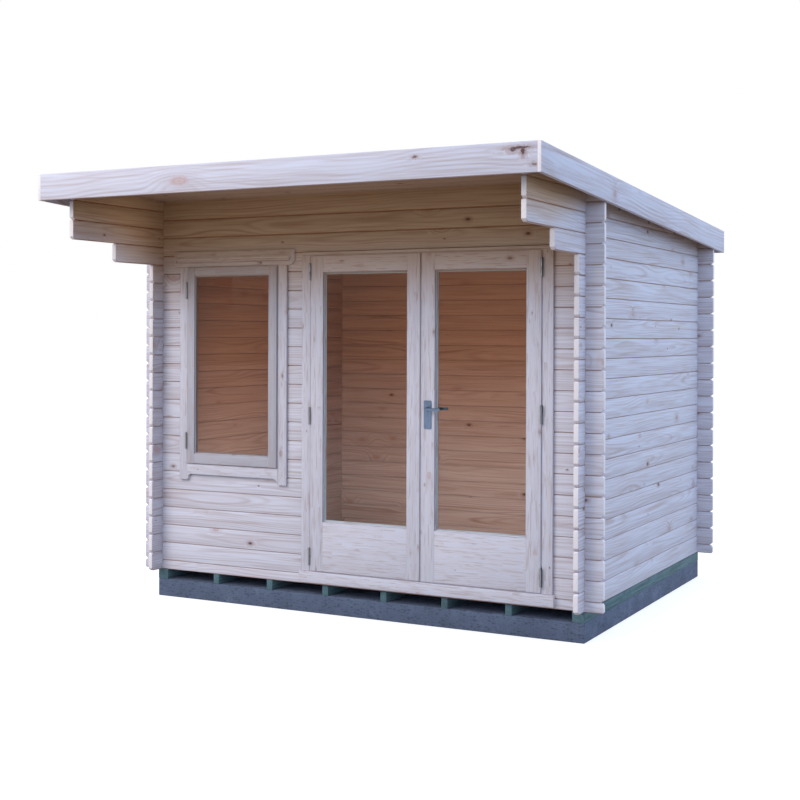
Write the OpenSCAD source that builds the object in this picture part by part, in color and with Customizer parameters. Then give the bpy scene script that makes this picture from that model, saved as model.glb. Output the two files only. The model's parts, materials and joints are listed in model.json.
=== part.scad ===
// Log cabin with a pent roof and a front canopy.
// Lengths are in millimetres. +Z is up, the front faces -Y, and the origin is at the
// centre of the footprint, under the concrete base.

/* [Walls] */
// Width over the outer faces of the two side walls
wall_width = 2871; // [2700:1:4000]
// Depth over the outer faces of the front and back walls
wall_depth = 2321; // [1800:1:3400]
// Height of the roof's underside over the logs' foot, at the front wall's outer face
front_height = 2344; // [2220:1:2900]
// Thickness of a wall log
log_thickness = 28; // [22:1:40]
// Height that one course of logs covers
course = 114; // [90:1:140]
// How far the log ends run on past the corners
corner_overhang = 106; // [70:1:160]
// Depth of the groove along a log's upper edges
groove_top = 5; // [2:0.5:6]
// Depth of the groove along a log's lower edges
groove_bottom = 4; // [2:0.5:6]
// Length of the slanting cut under a free log end, and of the rounding over a foot log's end
end_cut_length = 20; // [6:1:30]
// Height of that cut and of that rounding
end_cut_height = 16; // [6:1:24]
// Chamfer over a free log end
end_chamfer = 7; // [2:0.5:12]

/* [Roof] */
// Fall of the roof from front to back, in degrees
roof_pitch = 3.04; // [1:0.02:6]
// How far the roof reaches out in front of the front wall
roof_front_reach = 978; // [700:1:1300]
// How far the roof reaches out behind the back wall
roof_back_reach = 196; // [140:1:400]
// Thickness of the roof boards
roof_board_thickness = 19; // [16:1:28]
// Thickness of the roofing felt
felt_thickness = 3; // [2:0.5:6]
// Height of the fascia boards
fascia_height = 151; // [100:1:200]
// Thickness of the fascia boards
fascia_thickness = 20; // [16:1:28]
// How far the fascia's top edge stands over the felt
fascia_rise = 6; // [0:1:30]
// How far the long canopy logs end behind the front fascia's face
canopy_set_back = 126; // [40:1:200]
// How far the short canopy log ends behind the long ones
canopy_step = 383; // [100:1:400]
// Width of a purlin
purlin_width = 45; // [35:1:60]
// Depth of a purlin
purlin_depth = 90; // [60:1:110]

/* [Base] */
// Height of the concrete base
base_height = 110; // [50:1:300]
// Height of the bearers
bearer_height = 62; // [40:1:100]
// Width of the two outer bearers
outer_bearer_width = 72; // [50:1:100]
// Width of an inner bearer
inner_bearer_width = 39; // [30:1:60]
// Spacing of the inner bearers
bearer_spacing = 395.5; // [250:0.5:420]
// Thickness of the floor boards
floor_thickness = 19; // [16:1:28]

/* [Doors] */
// Centre of the double door, right of the cabin's centre
door_centre = 450; // [300:1:500]
// Width of one door leaf
leaf_width = 735; // [600:1:760]
// Thickness of a door leaf
leaf_thickness = 42; // [36:1:50]
// Height of the leaf's lower edge over the logs' foot
leaf_bottom = 86; // [80:1:110]
// Height of a door leaf
leaf_height = 1884; // [1700:1:1890]
// Width of a leaf's stiles
stile_width = 85; // [70:1:110]
// Height of a leaf's top rail
top_rail_height = 98; // [70:1:140]
// Height of a leaf's bottom rail
bottom_rail_height = 294; // [150:1:700]
// Gap round the leaves
leaf_gap = 7; // [7:0.5:12]
// Width of the strip along the left leaf's meeting edge
meeting_strip_width = 22; // [12:1:40]
// Height of a hinge barrel
hinge_height = 104; // [70:1:140]
// Radius of a hinge barrel
hinge_radius = 5.5; // [5:0.5:9]
// Height of the left leaf's middle hinge over the logs' foot
left_middle_hinge = 961; // [700:1:1200]
// Height of the right leaf's middle hinge over the logs' foot
right_middle_hinge = 1013; // [700:1:1200]
// Height of the lever's spindle over the logs' foot
lever_height = 1076; // [900:1:1200]
// Length of the lever, from its spindle to its free end
lever_length = 93; // [80:1:130]

/* [Window] */
// Centre of the window, left of the cabin's centre
window_centre = -863; // [-950:1:-700]
// Width of the sash
sash_width = 667; // [400:1:700]
// Height of the sash's lower edge over the logs' foot
sash_bottom = 688; // [600:1:900]
// Height of the sash
sash_height = 1230; // [800:1:1260]
// Thickness of the sash
sash_thickness = 42; // [36:1:50]
// Width of the sash's stiles
sash_stile_width = 57; // [45:1:80]
// Height of the sash's top rail
sash_top_rail = 53; // [45:1:80]
// Height of the sash's bottom rail
sash_bottom_rail = 62; // [45:1:90]

/* [Trim] */
// Width of the window's casing boards and of the trim boards inside
casing_width = 62; // [45:1:75]
// Width of the door's casing boards
door_casing_width = 60; // [45:1:75]
// Thickness of the casing boards
casing_thickness = 18; // [12:1:22]
// Thickness of the trim boards inside
inner_trim_thickness = 15; // [10:1:22]
// How far the door's casings lap over the cut log ends
door_casing_lap = 40; // [20:1:40]
// How far the window's casings lap over the cut log ends
window_casing_lap = 32; // [20:1:40]
// Thickness of the glass
glass_thickness = 4; // [3:0.5:6]

/* [Hidden] */
$fn = 48;

// Clearances
joint_gap = 0.4;     // between boards and logs that lie against each other
notch_fit = 0.3;     // beside a crossing log in its notch
glass_fit = 0.5;     // round the edge of a pane in its groove
pin_fit = 0.06;      // radial, between a hinge pin and its sleeve
neck_fit = 0.08;     // radial, between the lever's neck and its plate
past = 5;            // how far a cutting shape runs out past what it cuts

// Colours
spruce = [0.80, 0.79, 0.86];
spruce_shade = [0.46, 0.38, 0.31];
joinery = [0.82, 0.80, 0.85];
treated = [0.42, 0.57, 0.57];
concrete = [0.30, 0.35, 0.45];
felt = [0.25, 0.26, 0.27];
steel = [0.45, 0.52, 0.58];
pane = [0.62, 0.42, 0.32, 0.4];

// Walls: the cabin's own construction is drawn from the front wall's outer face (Y = 0)
// and the foot of the logs (Z = 0), and wall_frame() puts it over the base.
half_width = wall_width / 2;
half_course = course / 2;
quarter = course / 4;
log_end_x = half_width + corner_overhang;
wall_foot = base_height + bearer_height;
back_face = wall_depth - log_thickness;
wall_shift = (roof_front_reach - roof_back_reach - wall_depth) / 2;
least_strip = 20;    // a thinner strip under the roof stays part of the log below it
feather = 4;         // height at which the tapering top logs end
long_canopy_logs = 3; // at the top of each side wall, over the short one
canopy_reach = roof_front_reach - canopy_set_back;
canopy_step_reach = canopy_reach - canopy_step;

// Roof
fall = tan(roof_pitch);
roof_stack = roof_board_thickness + felt_thickness;
fascia_top_over = roof_stack + fascia_rise;
roof_front = -roof_front_reach;
roof_back = wall_depth + roof_back_reach;
top_log = floor((roof_under(-canopy_reach) - least_strip) / course);
purlin_set_back = 32.5; // of the first purlin's face behind the long canopy logs' ends
purlin_places = [-canopy_reach + purlin_set_back + purlin_width / 2,
    back_face / 4, back_face / 2, back_face * 3 / 4];

// Base
inner_bearer_count = floor((wall_width - outer_bearer_width) / bearer_spacing) - 1;
floor_gap = 2;       // between the floor boards and the walls

// Doors
leaf_proud = 8;      // of a leaf's face over its casings
leaf_front = -casing_thickness - leaf_proud;
leaf_back = leaf_front + leaf_thickness;
leaf_top = leaf_bottom + leaf_height;
leaf_edge = leaf_gap / 2 + leaf_width;
jamb_face = leaf_edge + leaf_gap;
door_casing_edge = jamb_face + door_casing_width;
door_half = door_casing_edge - door_casing_lap;
stop_lap = 12;
stop_gap = 5.5;
stop_front = leaf_back + stop_gap;
frame_depth = log_thickness + inner_trim_thickness;
threshold_top = leaf_bottom - leaf_gap;
head_under = leaf_top + leaf_gap;
door_rows = ceil((head_under + casing_thickness - half_course - joint_gap) / course);
door_top = half_course + door_rows * course;
hinge_x = leaf_edge + leaf_gap / 2;
barrel_gap = 0.5;    // between a hinge barrel and its leaf's face
hinge_y = leaf_front - hinge_radius - barrel_gap;
hinge_pin_radius = 3;
hinge_pin_short = 2; // of a hinge pin's end under the top of its barrel
hinge_plate = 2;
hinge_plate_end = 10; // from a hinge plate's edge to the leaf's inner face
hinge_low = 32;      // from the leaf's lower edge up to its lowest hinge
hinge_high = 41;     // from the highest hinge up to the leaf's upper edge
knuckle_gap = 0.6;
glass_groove = 8;
strip_depth = 6;     // of the strip along the meeting edge
apron_reach = 9;     // of the threshold's apron past the casings
apron_proud = 4;     // of the apron over the leaves' faces
apron_foot = 12;

// Handle
lever_back_set = 43; // from the right leaf's meeting edge to the spindle
lever_x = door_centre + leaf_gap / 2 + lever_back_set;
plate_width = 48;
plate_height = 163;
plate_thickness = 4;
plate_corner = 6;
plate_rise = -33;    // of the plate's centre over the spindle
neck_radius = 9;
spindle_radius = 4;
spindle_hole = 9.5;
lever_depth = 10;
lever_thickness = 15;
lever_stand_off = 26.5;

// Window
sash_proud = 14;     // of the sash's face over its casings
sash_front = -casing_thickness - sash_proud;
sash_back = sash_front + sash_thickness;
sash_edge = sash_width / 2;
sash_gap = 2;
window_face = sash_edge + sash_gap;
window_casing_edge = window_face + casing_width;
window_half = window_casing_edge - window_casing_lap;
window_lowest = sash_bottom - sash_gap;
window_highest = sash_bottom + sash_height + sash_gap;
sill_row = floor((window_lowest - casing_thickness - half_course) / course);
head_row = ceil((window_highest + casing_thickness - half_course) / course);
window_bottom = half_course + sill_row * course;
window_top = half_course + head_row * course;
window_hinge_low = 90;  // from the sash's lower edge up to its lowest hinge
window_hinge_high = 91; // from its highest hinge up to the sash's upper edge
sash_pane_depth = 16; // from the sash's face to the middle of its pane
casing_foot = 106;   // how far the window's casings run down past the sash
sill_board_height = 63;
sill_board_drop = 5; // from the sash's lower edge down to the sill board
sill_board_proud = 4; // of the sill board over the casings
bracket_radius = 30;
head_board_height = 95;
head_board_lap = 48; // past the casings on each side
head_board_ear = 25;
head_board_foot = 4; // over the sash's upper edge
crown_low = 27;
crown_height = 30;
crown_depth = 12;

// Height of the roof's underside over the logs' foot, at a distance behind the front wall
function roof_under(y) = front_height - y * fall;

// Distance behind the front wall at which the roof's underside comes down to a height
function roof_meets(z) = (front_height - z) / fall;

// Points of a rounded corner, from straight up to straight along
function rounding(length, height) =
    [for (a = [0 : 45 : 90]) [length * (1 - cos(a)), height * (1 - sin(a))]];

module wall_frame() { translate([0, wall_shift, wall_foot]) children(); }

// A box between two corners
module block(low, high) { translate(low) cube(high - low); }

// A YZ outline, drawn along X between two places
module along_x(x0, x1) {
    translate([x0, 0, 0]) rotate([90, 0, 90]) linear_extrude(x1 - x0) children();
}

// An XZ outline, drawn along Y between two places
module along_y(y0, y1) {
    translate([0, y1, 0]) rotate([90, 0, 0]) linear_extrude(y1 - y0) children();
}

// Everything under the roof's boards, down to a hair below them
module below_roof() {
    front = roof_front - past;
    back = roof_back + past;
    along_x(-log_end_x - past, log_end_x + past)
        polygon([[front, -past], [back, -past], [back, roof_under(back) - joint_gap],
            [front, roof_under(front) - joint_gap]]);
}

// Logs

module log_section(zb, zt) {
    t = log_thickness;
    polygon([[groove_bottom, zb], [t - groove_bottom, zb], [t, zb + groove_bottom],
        [t, zt - groove_top], [t - groove_top, zt], [groove_top, zt],
        [0, zt - groove_top], [0, zb + groove_bottom]]);
}

// Outline of a log's end, from its top down. A free end is chamfered above and cut on a
// slant below; a foot log, which has no log below it, is rounded above and chamfered below.
function end_points(zb, zt, foot) = foot
    ? concat([for (p = backwards(rounding(end_cut_length, end_cut_height))) [p[0], zt - p[1]]],
        [[0, zb + end_chamfer], [end_chamfer, zb]])
    : [[end_chamfer, zt], [0, zt - end_chamfer], [0, zb + end_cut_height], [end_cut_length, zb]];

function plain_points(zb, zt) = [[0, zt], [0, zb]];

function backwards(list) = [for (i = [len(list) - 1 : -1 : 0]) list[i]];

// A log from a to b along X, with its course's foot at zc and its top at zt. It is notched
// over and under each crossing log, whose near face is at one of the places in notches.
module log_bar(a, b, zc, zt, free_a = true, free_b = true, notches = []) {
    zb = max(zc, 0);
    foot = zc < 0;
    start = free_a ? end_points(zb, zt, foot) : plain_points(zb, zt);
    finish = free_b ? end_points(zb, zt, foot) : plain_points(zb, zt);
    difference() {
        intersection() {
            along_x(a, b) log_section(zb, zt);
            along_y(-past, log_thickness + past)
                polygon(concat([for (p = start) [a + p[0], p[1]]],
                    [for (p = backwards(finish)) [b - p[0], p[1]]]));
        }
        for (n = notches) {
            notch_box(n, zc + 3 * quarter - joint_gap, zt + past);
            if (!foot) notch_box(n, zb - past, zb + quarter);
        }
    }
}

// The cut for a crossing log whose near face is at n
module notch_box(n, low, high) {
    block([n - notch_fit, -past, low], [n + log_thickness + notch_fit, log_thickness + past, high]);
}

// Front and back walls

front_notches = [-half_width, half_width - log_thickness];
door_low = door_centre - door_half;
door_high = door_centre + door_half;
window_low = window_centre - window_half;
window_high = window_centre + window_half;

// Height of the foot of a course in the front and back walls, and its log's top
function row_foot(j) = half_course + j * course;
function rows_under(y) = floor((roof_under(y) - least_strip - half_course) / course);
front_rows = rows_under(0);
back_rows = rows_under(wall_depth);
function row_top(j, rows) = row_foot(j) + course + (j == rows ? least_strip : -joint_gap);

function beside_window(j) = j >= sill_row && j < head_row;

module front_log(j, a, b) {
    free_a = a < -half_width;
    free_b = b > half_width;
    if (j < front_rows) log_bar(a, b, row_foot(j), row_top(j, front_rows), free_a, free_b, front_notches);
    else intersection() {
        log_bar(a, b, row_foot(j), row_top(j, front_rows), free_a, free_b, front_notches);
        below_roof();
    }
}

module front_foot_log() {
    color(spruce) wall_frame()
        log_bar(-log_end_x, log_end_x, -half_course, half_course - joint_gap, notches = front_notches);
}

module front_wall_left() {
    color(spruce) wall_frame()
        for (j = [0 : door_rows - 1])
            front_log(j, -log_end_x, beside_window(j) ? window_low : door_low);
}

module front_wall_middle() {
    color(spruce) wall_frame()
        for (j = [0 : door_rows - 1])
            if (beside_window(j)) front_log(j, window_high, door_low);
}

module front_wall_right() {
    color(spruce) wall_frame()
        for (j = [0 : door_rows - 1]) front_log(j, door_high, log_end_x);
}

module front_wall_top() {
    color(spruce_shade) wall_frame()
        for (j = [door_rows : front_rows])
            if (beside_window(j)) {
                front_log(j, -log_end_x, window_low);
                front_log(j, window_high, log_end_x);
            } else front_log(j, -log_end_x, log_end_x);
}

module back_wall() {
    color(spruce) wall_frame() {
        translate([0, back_face, 0])
            log_bar(-log_end_x, log_end_x, -half_course, half_course - joint_gap, notches = front_notches);
        for (j = [0 : back_rows - 1])
            translate([0, back_face, 0])
                log_bar(-log_end_x, log_end_x, row_foot(j), row_top(j, back_rows), notches = front_notches);
        intersection() {
            translate([0, back_face, 0])
                log_bar(-log_end_x, log_end_x, row_foot(back_rows), row_top(back_rows, back_rows),
                    notches = front_notches);
            below_roof();
        }
    }
}

// Side walls

short_canopy_log = top_log - long_canopy_logs;
function side_front(k) = k > short_canopy_log ? -canopy_reach
    : k == short_canopy_log ? -canopy_step_reach : -corner_overhang;
side_back = wall_depth + corner_overhang;

// A side wall's log lies along Y. Over its full length it is under the roof, or the roof's
// slope cuts it, and the last one tapers out before it reaches the back.
module side_log(k) {
    zc = k * course;
    tapered = roof_under(side_back) < zc + feather;
    finish = tapered ? roof_meets(zc + feather) : side_back;
    zt = k == top_log ? zc + course + least_strip : zc + course - joint_gap;
    crossed_front = k <= front_rows;
    crossed_back = k <= back_rows;
    notches = [if (crossed_front) 0, if (crossed_back) back_face];
    last_front = k > front_rows ? [0] : [];
    last_back = k > back_rows && !tapered ? [back_face] : [];
    mirror([1, -1, 0]) difference() {
        log_bar(side_front(k), finish, zc, zt, true, !tapered, notches);
        for (n = concat(last_front, last_back)) notch_box(n, zc - past, zc + quarter);
    }
}

module side_wall() {
    difference() {
        for (k = [0 : top_log])
            if ((k + 1) * course < roof_under(side_back)) side_log(k);
            else intersection() {
                side_log(k);
                below_roof();
            }
        for (y = purlin_places) purlin_box(y, notch_fit);
    }
}

module left_wall() {
    color(spruce) wall_frame() translate([-half_width, 0, 0]) side_wall();
}

module right_wall() {
    color(spruce) wall_frame() translate([half_width - log_thickness, 0, 0]) side_wall();
}

// Roof

module purlin_box(y, grow) {
    low = roof_under(y) - purlin_depth - grow;
    block([-wall_width, y - purlin_width / 2 - grow, low],
        [wall_width, y + purlin_width / 2 + grow, low + 2 * purlin_depth]);
}

module purlins() {
    color(spruce_shade) wall_frame() intersection() {
        for (y = purlin_places) purlin_box(y, 0);
        block([-half_width, roof_front, 0], [half_width, roof_back, 2 * front_height]);
        below_roof();
    }
}

// A sheet over the roof's underside, between two heights over it
module roof_sheet(low, high) {
    front = roof_front + fascia_thickness;
    back = roof_back - fascia_thickness;
    along_x(-log_end_x, log_end_x)
        polygon([[front, roof_under(front) + low], [back, roof_under(back) + low],
            [back, roof_under(back) + high], [front, roof_under(front) + high]]);
}

module roof_boards() { color(spruce_shade) wall_frame() roof_sheet(0, roof_board_thickness); }

module roof_felt() { color(felt) wall_frame() roof_sheet(roof_board_thickness, roof_stack); }

module cross_fascia(y, top) {
    block([-log_end_x, y, top - fascia_height], [log_end_x, y + fascia_thickness, top]);
}

module front_fascia() {
    color(spruce) wall_frame() cross_fascia(roof_front, roof_under(roof_front) + fascia_top_over);
}

module back_fascia() {
    color(spruce) wall_frame()
        cross_fascia(roof_back - fascia_thickness, roof_under(roof_back) + fascia_top_over);
}

module side_fascia(x) {
    front_top = roof_under(roof_front) + fascia_top_over;
    back_top = roof_under(roof_back) + fascia_top_over;
    along_x(x, x + fascia_thickness)
        polygon([[roof_front, front_top - fascia_height], [roof_back, back_top - fascia_height],
            [roof_back, back_top], [roof_front, front_top]]);
}

module side_fascias() {
    color(spruce) wall_frame() {
        side_fascia(-log_end_x - fascia_thickness);
        side_fascia(log_end_x);
    }
}

// Base and floor

module concrete_base() {
    color(concrete) translate([0, wall_shift, 0])
        block([-half_width, 0, 0], [half_width, wall_depth, base_height]);
}

module bearer(x, width) {
    translate([0, wall_shift, base_height]) block([x, 0, 0], [x + width, wall_depth, bearer_height]);
}

module outer_bearers() {
    color(treated) {
        bearer(-half_width, outer_bearer_width);
        bearer(half_width - outer_bearer_width, outer_bearer_width);
    }
}

module inner_bearers() {
    color(treated)
        for (i = [0 : inner_bearer_count - 1]) {
            middle = (i - (inner_bearer_count - 1) / 2) * bearer_spacing;
            bearer(middle - inner_bearer_width / 2, inner_bearer_width);
        }
}

module floor_boards() {
    edge = half_width - log_thickness - floor_gap;
    color(spruce_shade) wall_frame()
        block([-edge, log_thickness + floor_gap, 0], [edge, back_face - floor_gap, floor_thickness]);
}

// Door frame

module door_place() { wall_frame() translate([door_centre, 0, 0]) children(); }

module both_sides() {
    children();
    mirror([1, 0, 0]) children();
}

module door_frame() {
    low = threshold_top + joint_gap;
    high = head_under - joint_gap;
    side = door_half - joint_gap;
    stop_edge = leaf_edge - stop_lap;
    color(joinery) door_place() {
        both_sides() {
            block([jamb_face, joint_gap, low], [side, frame_depth, high]);
            block([stop_edge, stop_front, low], [jamb_face, frame_depth, high]);
        }
        block([-side, joint_gap, head_under], [side, frame_depth, door_top - joint_gap]);
        block([-stop_edge + joint_gap, stop_front, leaf_top - stop_lap],
            [stop_edge - joint_gap, frame_depth, head_under]);
    }
}

module door_threshold() {
    apron_edge = door_casing_edge + apron_reach;
    side = door_half - joint_gap;
    stop_edge = leaf_edge - stop_lap - joint_gap;
    color(joinery) door_place() {
        block([-apron_edge, leaf_front - apron_proud, apron_foot], [apron_edge, -joint_gap, threshold_top]);
        block([-side, -past, half_course], [side, frame_depth, threshold_top]);
        block([-stop_edge, stop_front, half_course], [stop_edge, frame_depth, leaf_bottom + stop_lap]);
    }
}

module door_casings() {
    color(joinery) door_place() {
        both_sides() block([jamb_face, -casing_thickness, threshold_top + joint_gap],
            [door_casing_edge, 0, head_under - joint_gap]);
        block([-door_casing_edge, -casing_thickness, head_under],
            [door_casing_edge, 0, door_top - joint_gap]);
    }
}

module door_inner_trim() {
    color(joinery) door_place() {
        both_sides() block([door_half, log_thickness + joint_gap, floor_thickness + joint_gap],
            [door_half + casing_width, frame_depth, door_top - joint_gap]);
        block([-door_half - casing_width, log_thickness + joint_gap, door_top],
            [door_half + casing_width, frame_depth, door_top + casing_width]);
    }
}

// Door leaves. Each leaf is drawn for the right side, with its meeting edge towards X = 0.

module leaf_frame_bar(low_x, high_x, low_z, high_z) {
    block([low_x, leaf_front, low_z], [high_x, leaf_back, high_z]);
}

pane_low_z = leaf_bottom + bottom_rail_height - glass_groove;
pane_high_z = leaf_top - top_rail_height + glass_groove;
pane_low_x = leaf_gap / 2 + stile_width - glass_groove;
pane_high_x = leaf_edge - stile_width + glass_groove;
pane_y = (leaf_front + leaf_back) / 2;

module leaf_pane(grow) {
    block([pane_low_x - grow, pane_y - glass_thickness / 2 - grow, pane_low_z - grow],
        [pane_high_x + grow, pane_y + glass_thickness / 2 + grow, pane_high_z + grow]);
}

module leaf_stiles() {
    difference() {
        union() {
            leaf_frame_bar(leaf_gap / 2, leaf_gap / 2 + stile_width, leaf_bottom, leaf_top);
            leaf_frame_bar(leaf_edge - stile_width, leaf_edge, leaf_bottom, leaf_top);
        }
        leaf_pane(glass_fit);
    }
}

module leaf_rails() {
    low_x = leaf_gap / 2 + stile_width + joint_gap;
    high_x = leaf_edge - stile_width - joint_gap;
    difference() {
        union() {
            leaf_frame_bar(low_x, high_x, leaf_bottom, leaf_bottom + bottom_rail_height);
            leaf_frame_bar(low_x, high_x, leaf_top - top_rail_height, leaf_top);
        }
        leaf_pane(glass_fit);
    }
}

module to_left() { mirror([1, 0, 0]) children(); }

module left_door_stiles() { color(joinery) door_place() to_left() leaf_stiles(); }

module left_door_rails() { color(joinery) door_place() to_left() leaf_rails(); }

module left_door_glass() { color(pane) door_place() to_left() leaf_pane(0); }

// The strip's edge is flush with the leaf's own edge, so that either leaf opens by itself.
module left_door_strip() {
    color(joinery) door_place()
        block([-leaf_gap / 2 - meeting_strip_width, leaf_front - strip_depth, leaf_bottom],
            [-leaf_gap / 2, leaf_front, leaf_top]);
}

module right_door_stiles() {
    color(joinery) difference() {
        door_place() leaf_stiles();
        spindle_axis() cylinder(r = spindle_hole, h = 4 * leaf_thickness, center = true);
    }
}

module right_door_rails() { color(joinery) door_place() leaf_rails(); }

module right_door_glass() { color(pane) door_place() leaf_pane(0); }

// Hinges. The lower knuckle and its pin are on the frame, the upper knuckle is on the leaf.

function hinge_feet(middle) = [leaf_bottom + hinge_low, middle, leaf_top - hinge_high - hinge_height];

knuckle = (hinge_height - knuckle_gap) / 2;

module hinge_pin_half(z) {
    translate([hinge_x, hinge_y, z]) {
        cylinder(r = hinge_radius, h = knuckle);
        cylinder(r = hinge_pin_radius, h = hinge_height - hinge_pin_short);
    }
    block([jamb_face - hinge_plate, hinge_y, z], [jamb_face, -joint_gap, z + knuckle]);
}

module hinge_sleeve_half(z) {
    foot = z + knuckle + knuckle_gap;
    difference() {
        union() {
            translate([hinge_x, hinge_y, foot]) cylinder(r = hinge_radius, h = knuckle);
            block([leaf_edge, hinge_y, foot],
                [leaf_edge + hinge_plate, leaf_back - hinge_plate_end, foot + knuckle]);
        }
        translate([hinge_x, hinge_y, foot - past])
            cylinder(r = hinge_pin_radius + pin_fit, h = knuckle + 2 * past);
    }
}

module left_hinge_pins() {
    color(steel) door_place() to_left() for (z = hinge_feet(left_middle_hinge)) hinge_pin_half(z);
}

module left_hinge_sleeves() {
    color(steel) door_place() to_left() for (z = hinge_feet(left_middle_hinge)) hinge_sleeve_half(z);
}

module right_hinge_pins() {
    color(steel) door_place() for (z = hinge_feet(right_middle_hinge)) hinge_pin_half(z);
}

module right_hinge_sleeves() {
    color(steel) door_place() for (z = hinge_feet(right_middle_hinge)) hinge_sleeve_half(z);
}

// Handle. Its pieces are drawn about the spindle, and spindle_axis() lays Z along -Y.

module spindle_axis() {
    wall_frame() translate([lever_x, leaf_front, lever_height]) rotate([90, 0, 0]) children();
}

module handle_plate() {
    linear_extrude(plate_thickness) translate([0, plate_rise]) difference() {
        union() {
            square([plate_width - 2 * plate_corner, plate_height], center = true);
            square([plate_width, plate_height - 2 * plate_corner], center = true);
            for (x = [-1, 1], y = [-1, 1])
                translate([x * (plate_width / 2 - plate_corner), y * (plate_height / 2 - plate_corner)])
                    circle(r = plate_corner);
        }
        translate([0, -plate_rise]) circle(r = neck_radius + neck_fit);
    }
}

// The inner half of the handle is the outer half seen from the room
module inside_face() { translate([0, 0, -leaf_thickness]) mirror([0, 0, 1]) children(); }

module handle_plates() {
    color(steel) spindle_axis() {
        handle_plate();
        inside_face() handle_plate();
    }
}

module lever_arm() {
    radius = lever_thickness / 2;
    cylinder(r = neck_radius, h = lever_stand_off);
    translate([0, 0, lever_stand_off]) {
        cylinder(r = radius, h = lever_depth);
        translate([lever_length - radius, 0, 0]) cylinder(r = radius, h = lever_depth);
        block([0, -radius, 0], [lever_length - radius, radius, lever_depth]);
    }
}

module handle_levers() {
    color(steel) spindle_axis() {
        lever_arm();
        inside_face() lever_arm();
    }
}

module handle_spindle() {
    color(steel) spindle_axis() translate([0, 0, -leaf_thickness])
        cylinder(r = spindle_radius, h = leaf_thickness);
}

// Window

module window_place() { wall_frame() translate([window_centre, 0, 0]) children(); }

module window_frame() {
    low = window_lowest + joint_gap;
    high = window_highest - joint_gap;
    side = window_half - joint_gap;
    color(joinery) window_place() {
        both_sides() {
            block([window_face, joint_gap, low], [side, frame_depth, high]);
            block([window_face - stop_lap, sash_back, low], [window_face, frame_depth, high]);
        }
        block([-side, joint_gap, window_bottom + joint_gap], [side, frame_depth, window_lowest]);
        block([-side, joint_gap, window_highest], [side, frame_depth, window_top - joint_gap]);
    }
}

sash_pane_x = sash_edge - sash_stile_width + glass_groove;
sash_pane_low = sash_bottom + sash_bottom_rail - glass_groove;
sash_pane_high = sash_bottom + sash_height - sash_top_rail + glass_groove;
sash_pane_y = sash_front + sash_pane_depth;

module sash_pane(grow) {
    block([-sash_pane_x - grow, sash_pane_y - glass_thickness / 2 - grow, sash_pane_low - grow],
        [sash_pane_x + grow, sash_pane_y + glass_thickness / 2 + grow, sash_pane_high + grow]);
}

module window_sash() {
    top = sash_bottom + sash_height;
    rail_edge = sash_edge - sash_stile_width - joint_gap;
    color(joinery) window_place() difference() {
        union() {
            both_sides()
                block([sash_edge - sash_stile_width, sash_front, sash_bottom], [sash_edge, sash_back, top]);
            block([-rail_edge, sash_front, sash_bottom],
                [rail_edge, sash_back, sash_bottom + sash_bottom_rail]);
            block([-rail_edge, sash_front, top - sash_top_rail], [rail_edge, sash_back, top]);
        }
        sash_pane(glass_fit);
    }
}

module window_glass() { color(pane) window_place() sash_pane(0); }

head_board_low = sash_bottom + sash_height + head_board_foot;

module window_casings() {
    color(joinery) window_place() both_sides()
        block([window_face, -casing_thickness, sash_bottom - casing_foot],
            [window_casing_edge, 0, head_board_low - joint_gap]);
}

module window_head_board() {
    edge = window_casing_edge + head_board_lap;
    high = head_board_low + head_board_height;
    crown_edge = edge - head_board_ear;
    color(joinery) window_place() {
        along_y(-casing_thickness, 0)
            polygon([[-edge, high], [-edge, head_board_low + head_board_ear],
                [-edge + head_board_ear, head_board_low], [edge - head_board_ear, head_board_low],
                [edge, head_board_low + head_board_ear], [edge, high]]);
        block([-crown_edge, -casing_thickness - crown_depth, head_board_low + crown_low],
            [crown_edge, -casing_thickness, head_board_low + crown_low + crown_height]);
    }
}

// The board between the casings' feet, with a cove bracket under each of its ends
module window_sill_board() {
    edge = window_face - joint_gap;
    top = sash_bottom - sill_board_drop;
    low = top - sill_board_height;
    color(joinery) window_place() along_y(-casing_thickness - sill_board_proud, 0) difference() {
        union() {
            translate([-edge, low]) square([2 * edge, sill_board_height]);
            for (s = [-1, 1]) translate([s > 0 ? edge - bracket_radius : -edge, low - bracket_radius])
                square([bracket_radius, bracket_radius]);
        }
        for (s = [-1, 1]) translate([s * (edge - bracket_radius), low - bracket_radius])
            circle(r = bracket_radius);
    }
}

module window_inner_trim() {
    color(joinery) window_place() {
        both_sides() block([window_half, log_thickness + joint_gap, window_bottom],
            [window_half + casing_width, frame_depth, window_top]);
        block([-window_half - casing_width, log_thickness + joint_gap, window_top + joint_gap],
            [window_half + casing_width, frame_depth, window_top + casing_width]);
        block([-window_half - casing_width, log_thickness + joint_gap, window_bottom - casing_width],
            [window_half + casing_width, frame_depth, window_bottom - joint_gap]);
    }
}

module window_hinges() {
    low = sash_bottom + window_hinge_low;
    high = sash_bottom + sash_height - window_hinge_high - hinge_height;
    x = sash_edge + sash_gap / 2;
    color(steel) window_place() for (z = [low, high]) {
        translate([-x, sash_front - hinge_radius, z]) cylinder(r = hinge_radius, h = hinge_height);
        block([-x - sash_gap / 4, sash_front - hinge_radius, z],
            [-x + sash_gap / 4, -joint_gap, z + hinge_height]);
    }
}

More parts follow.
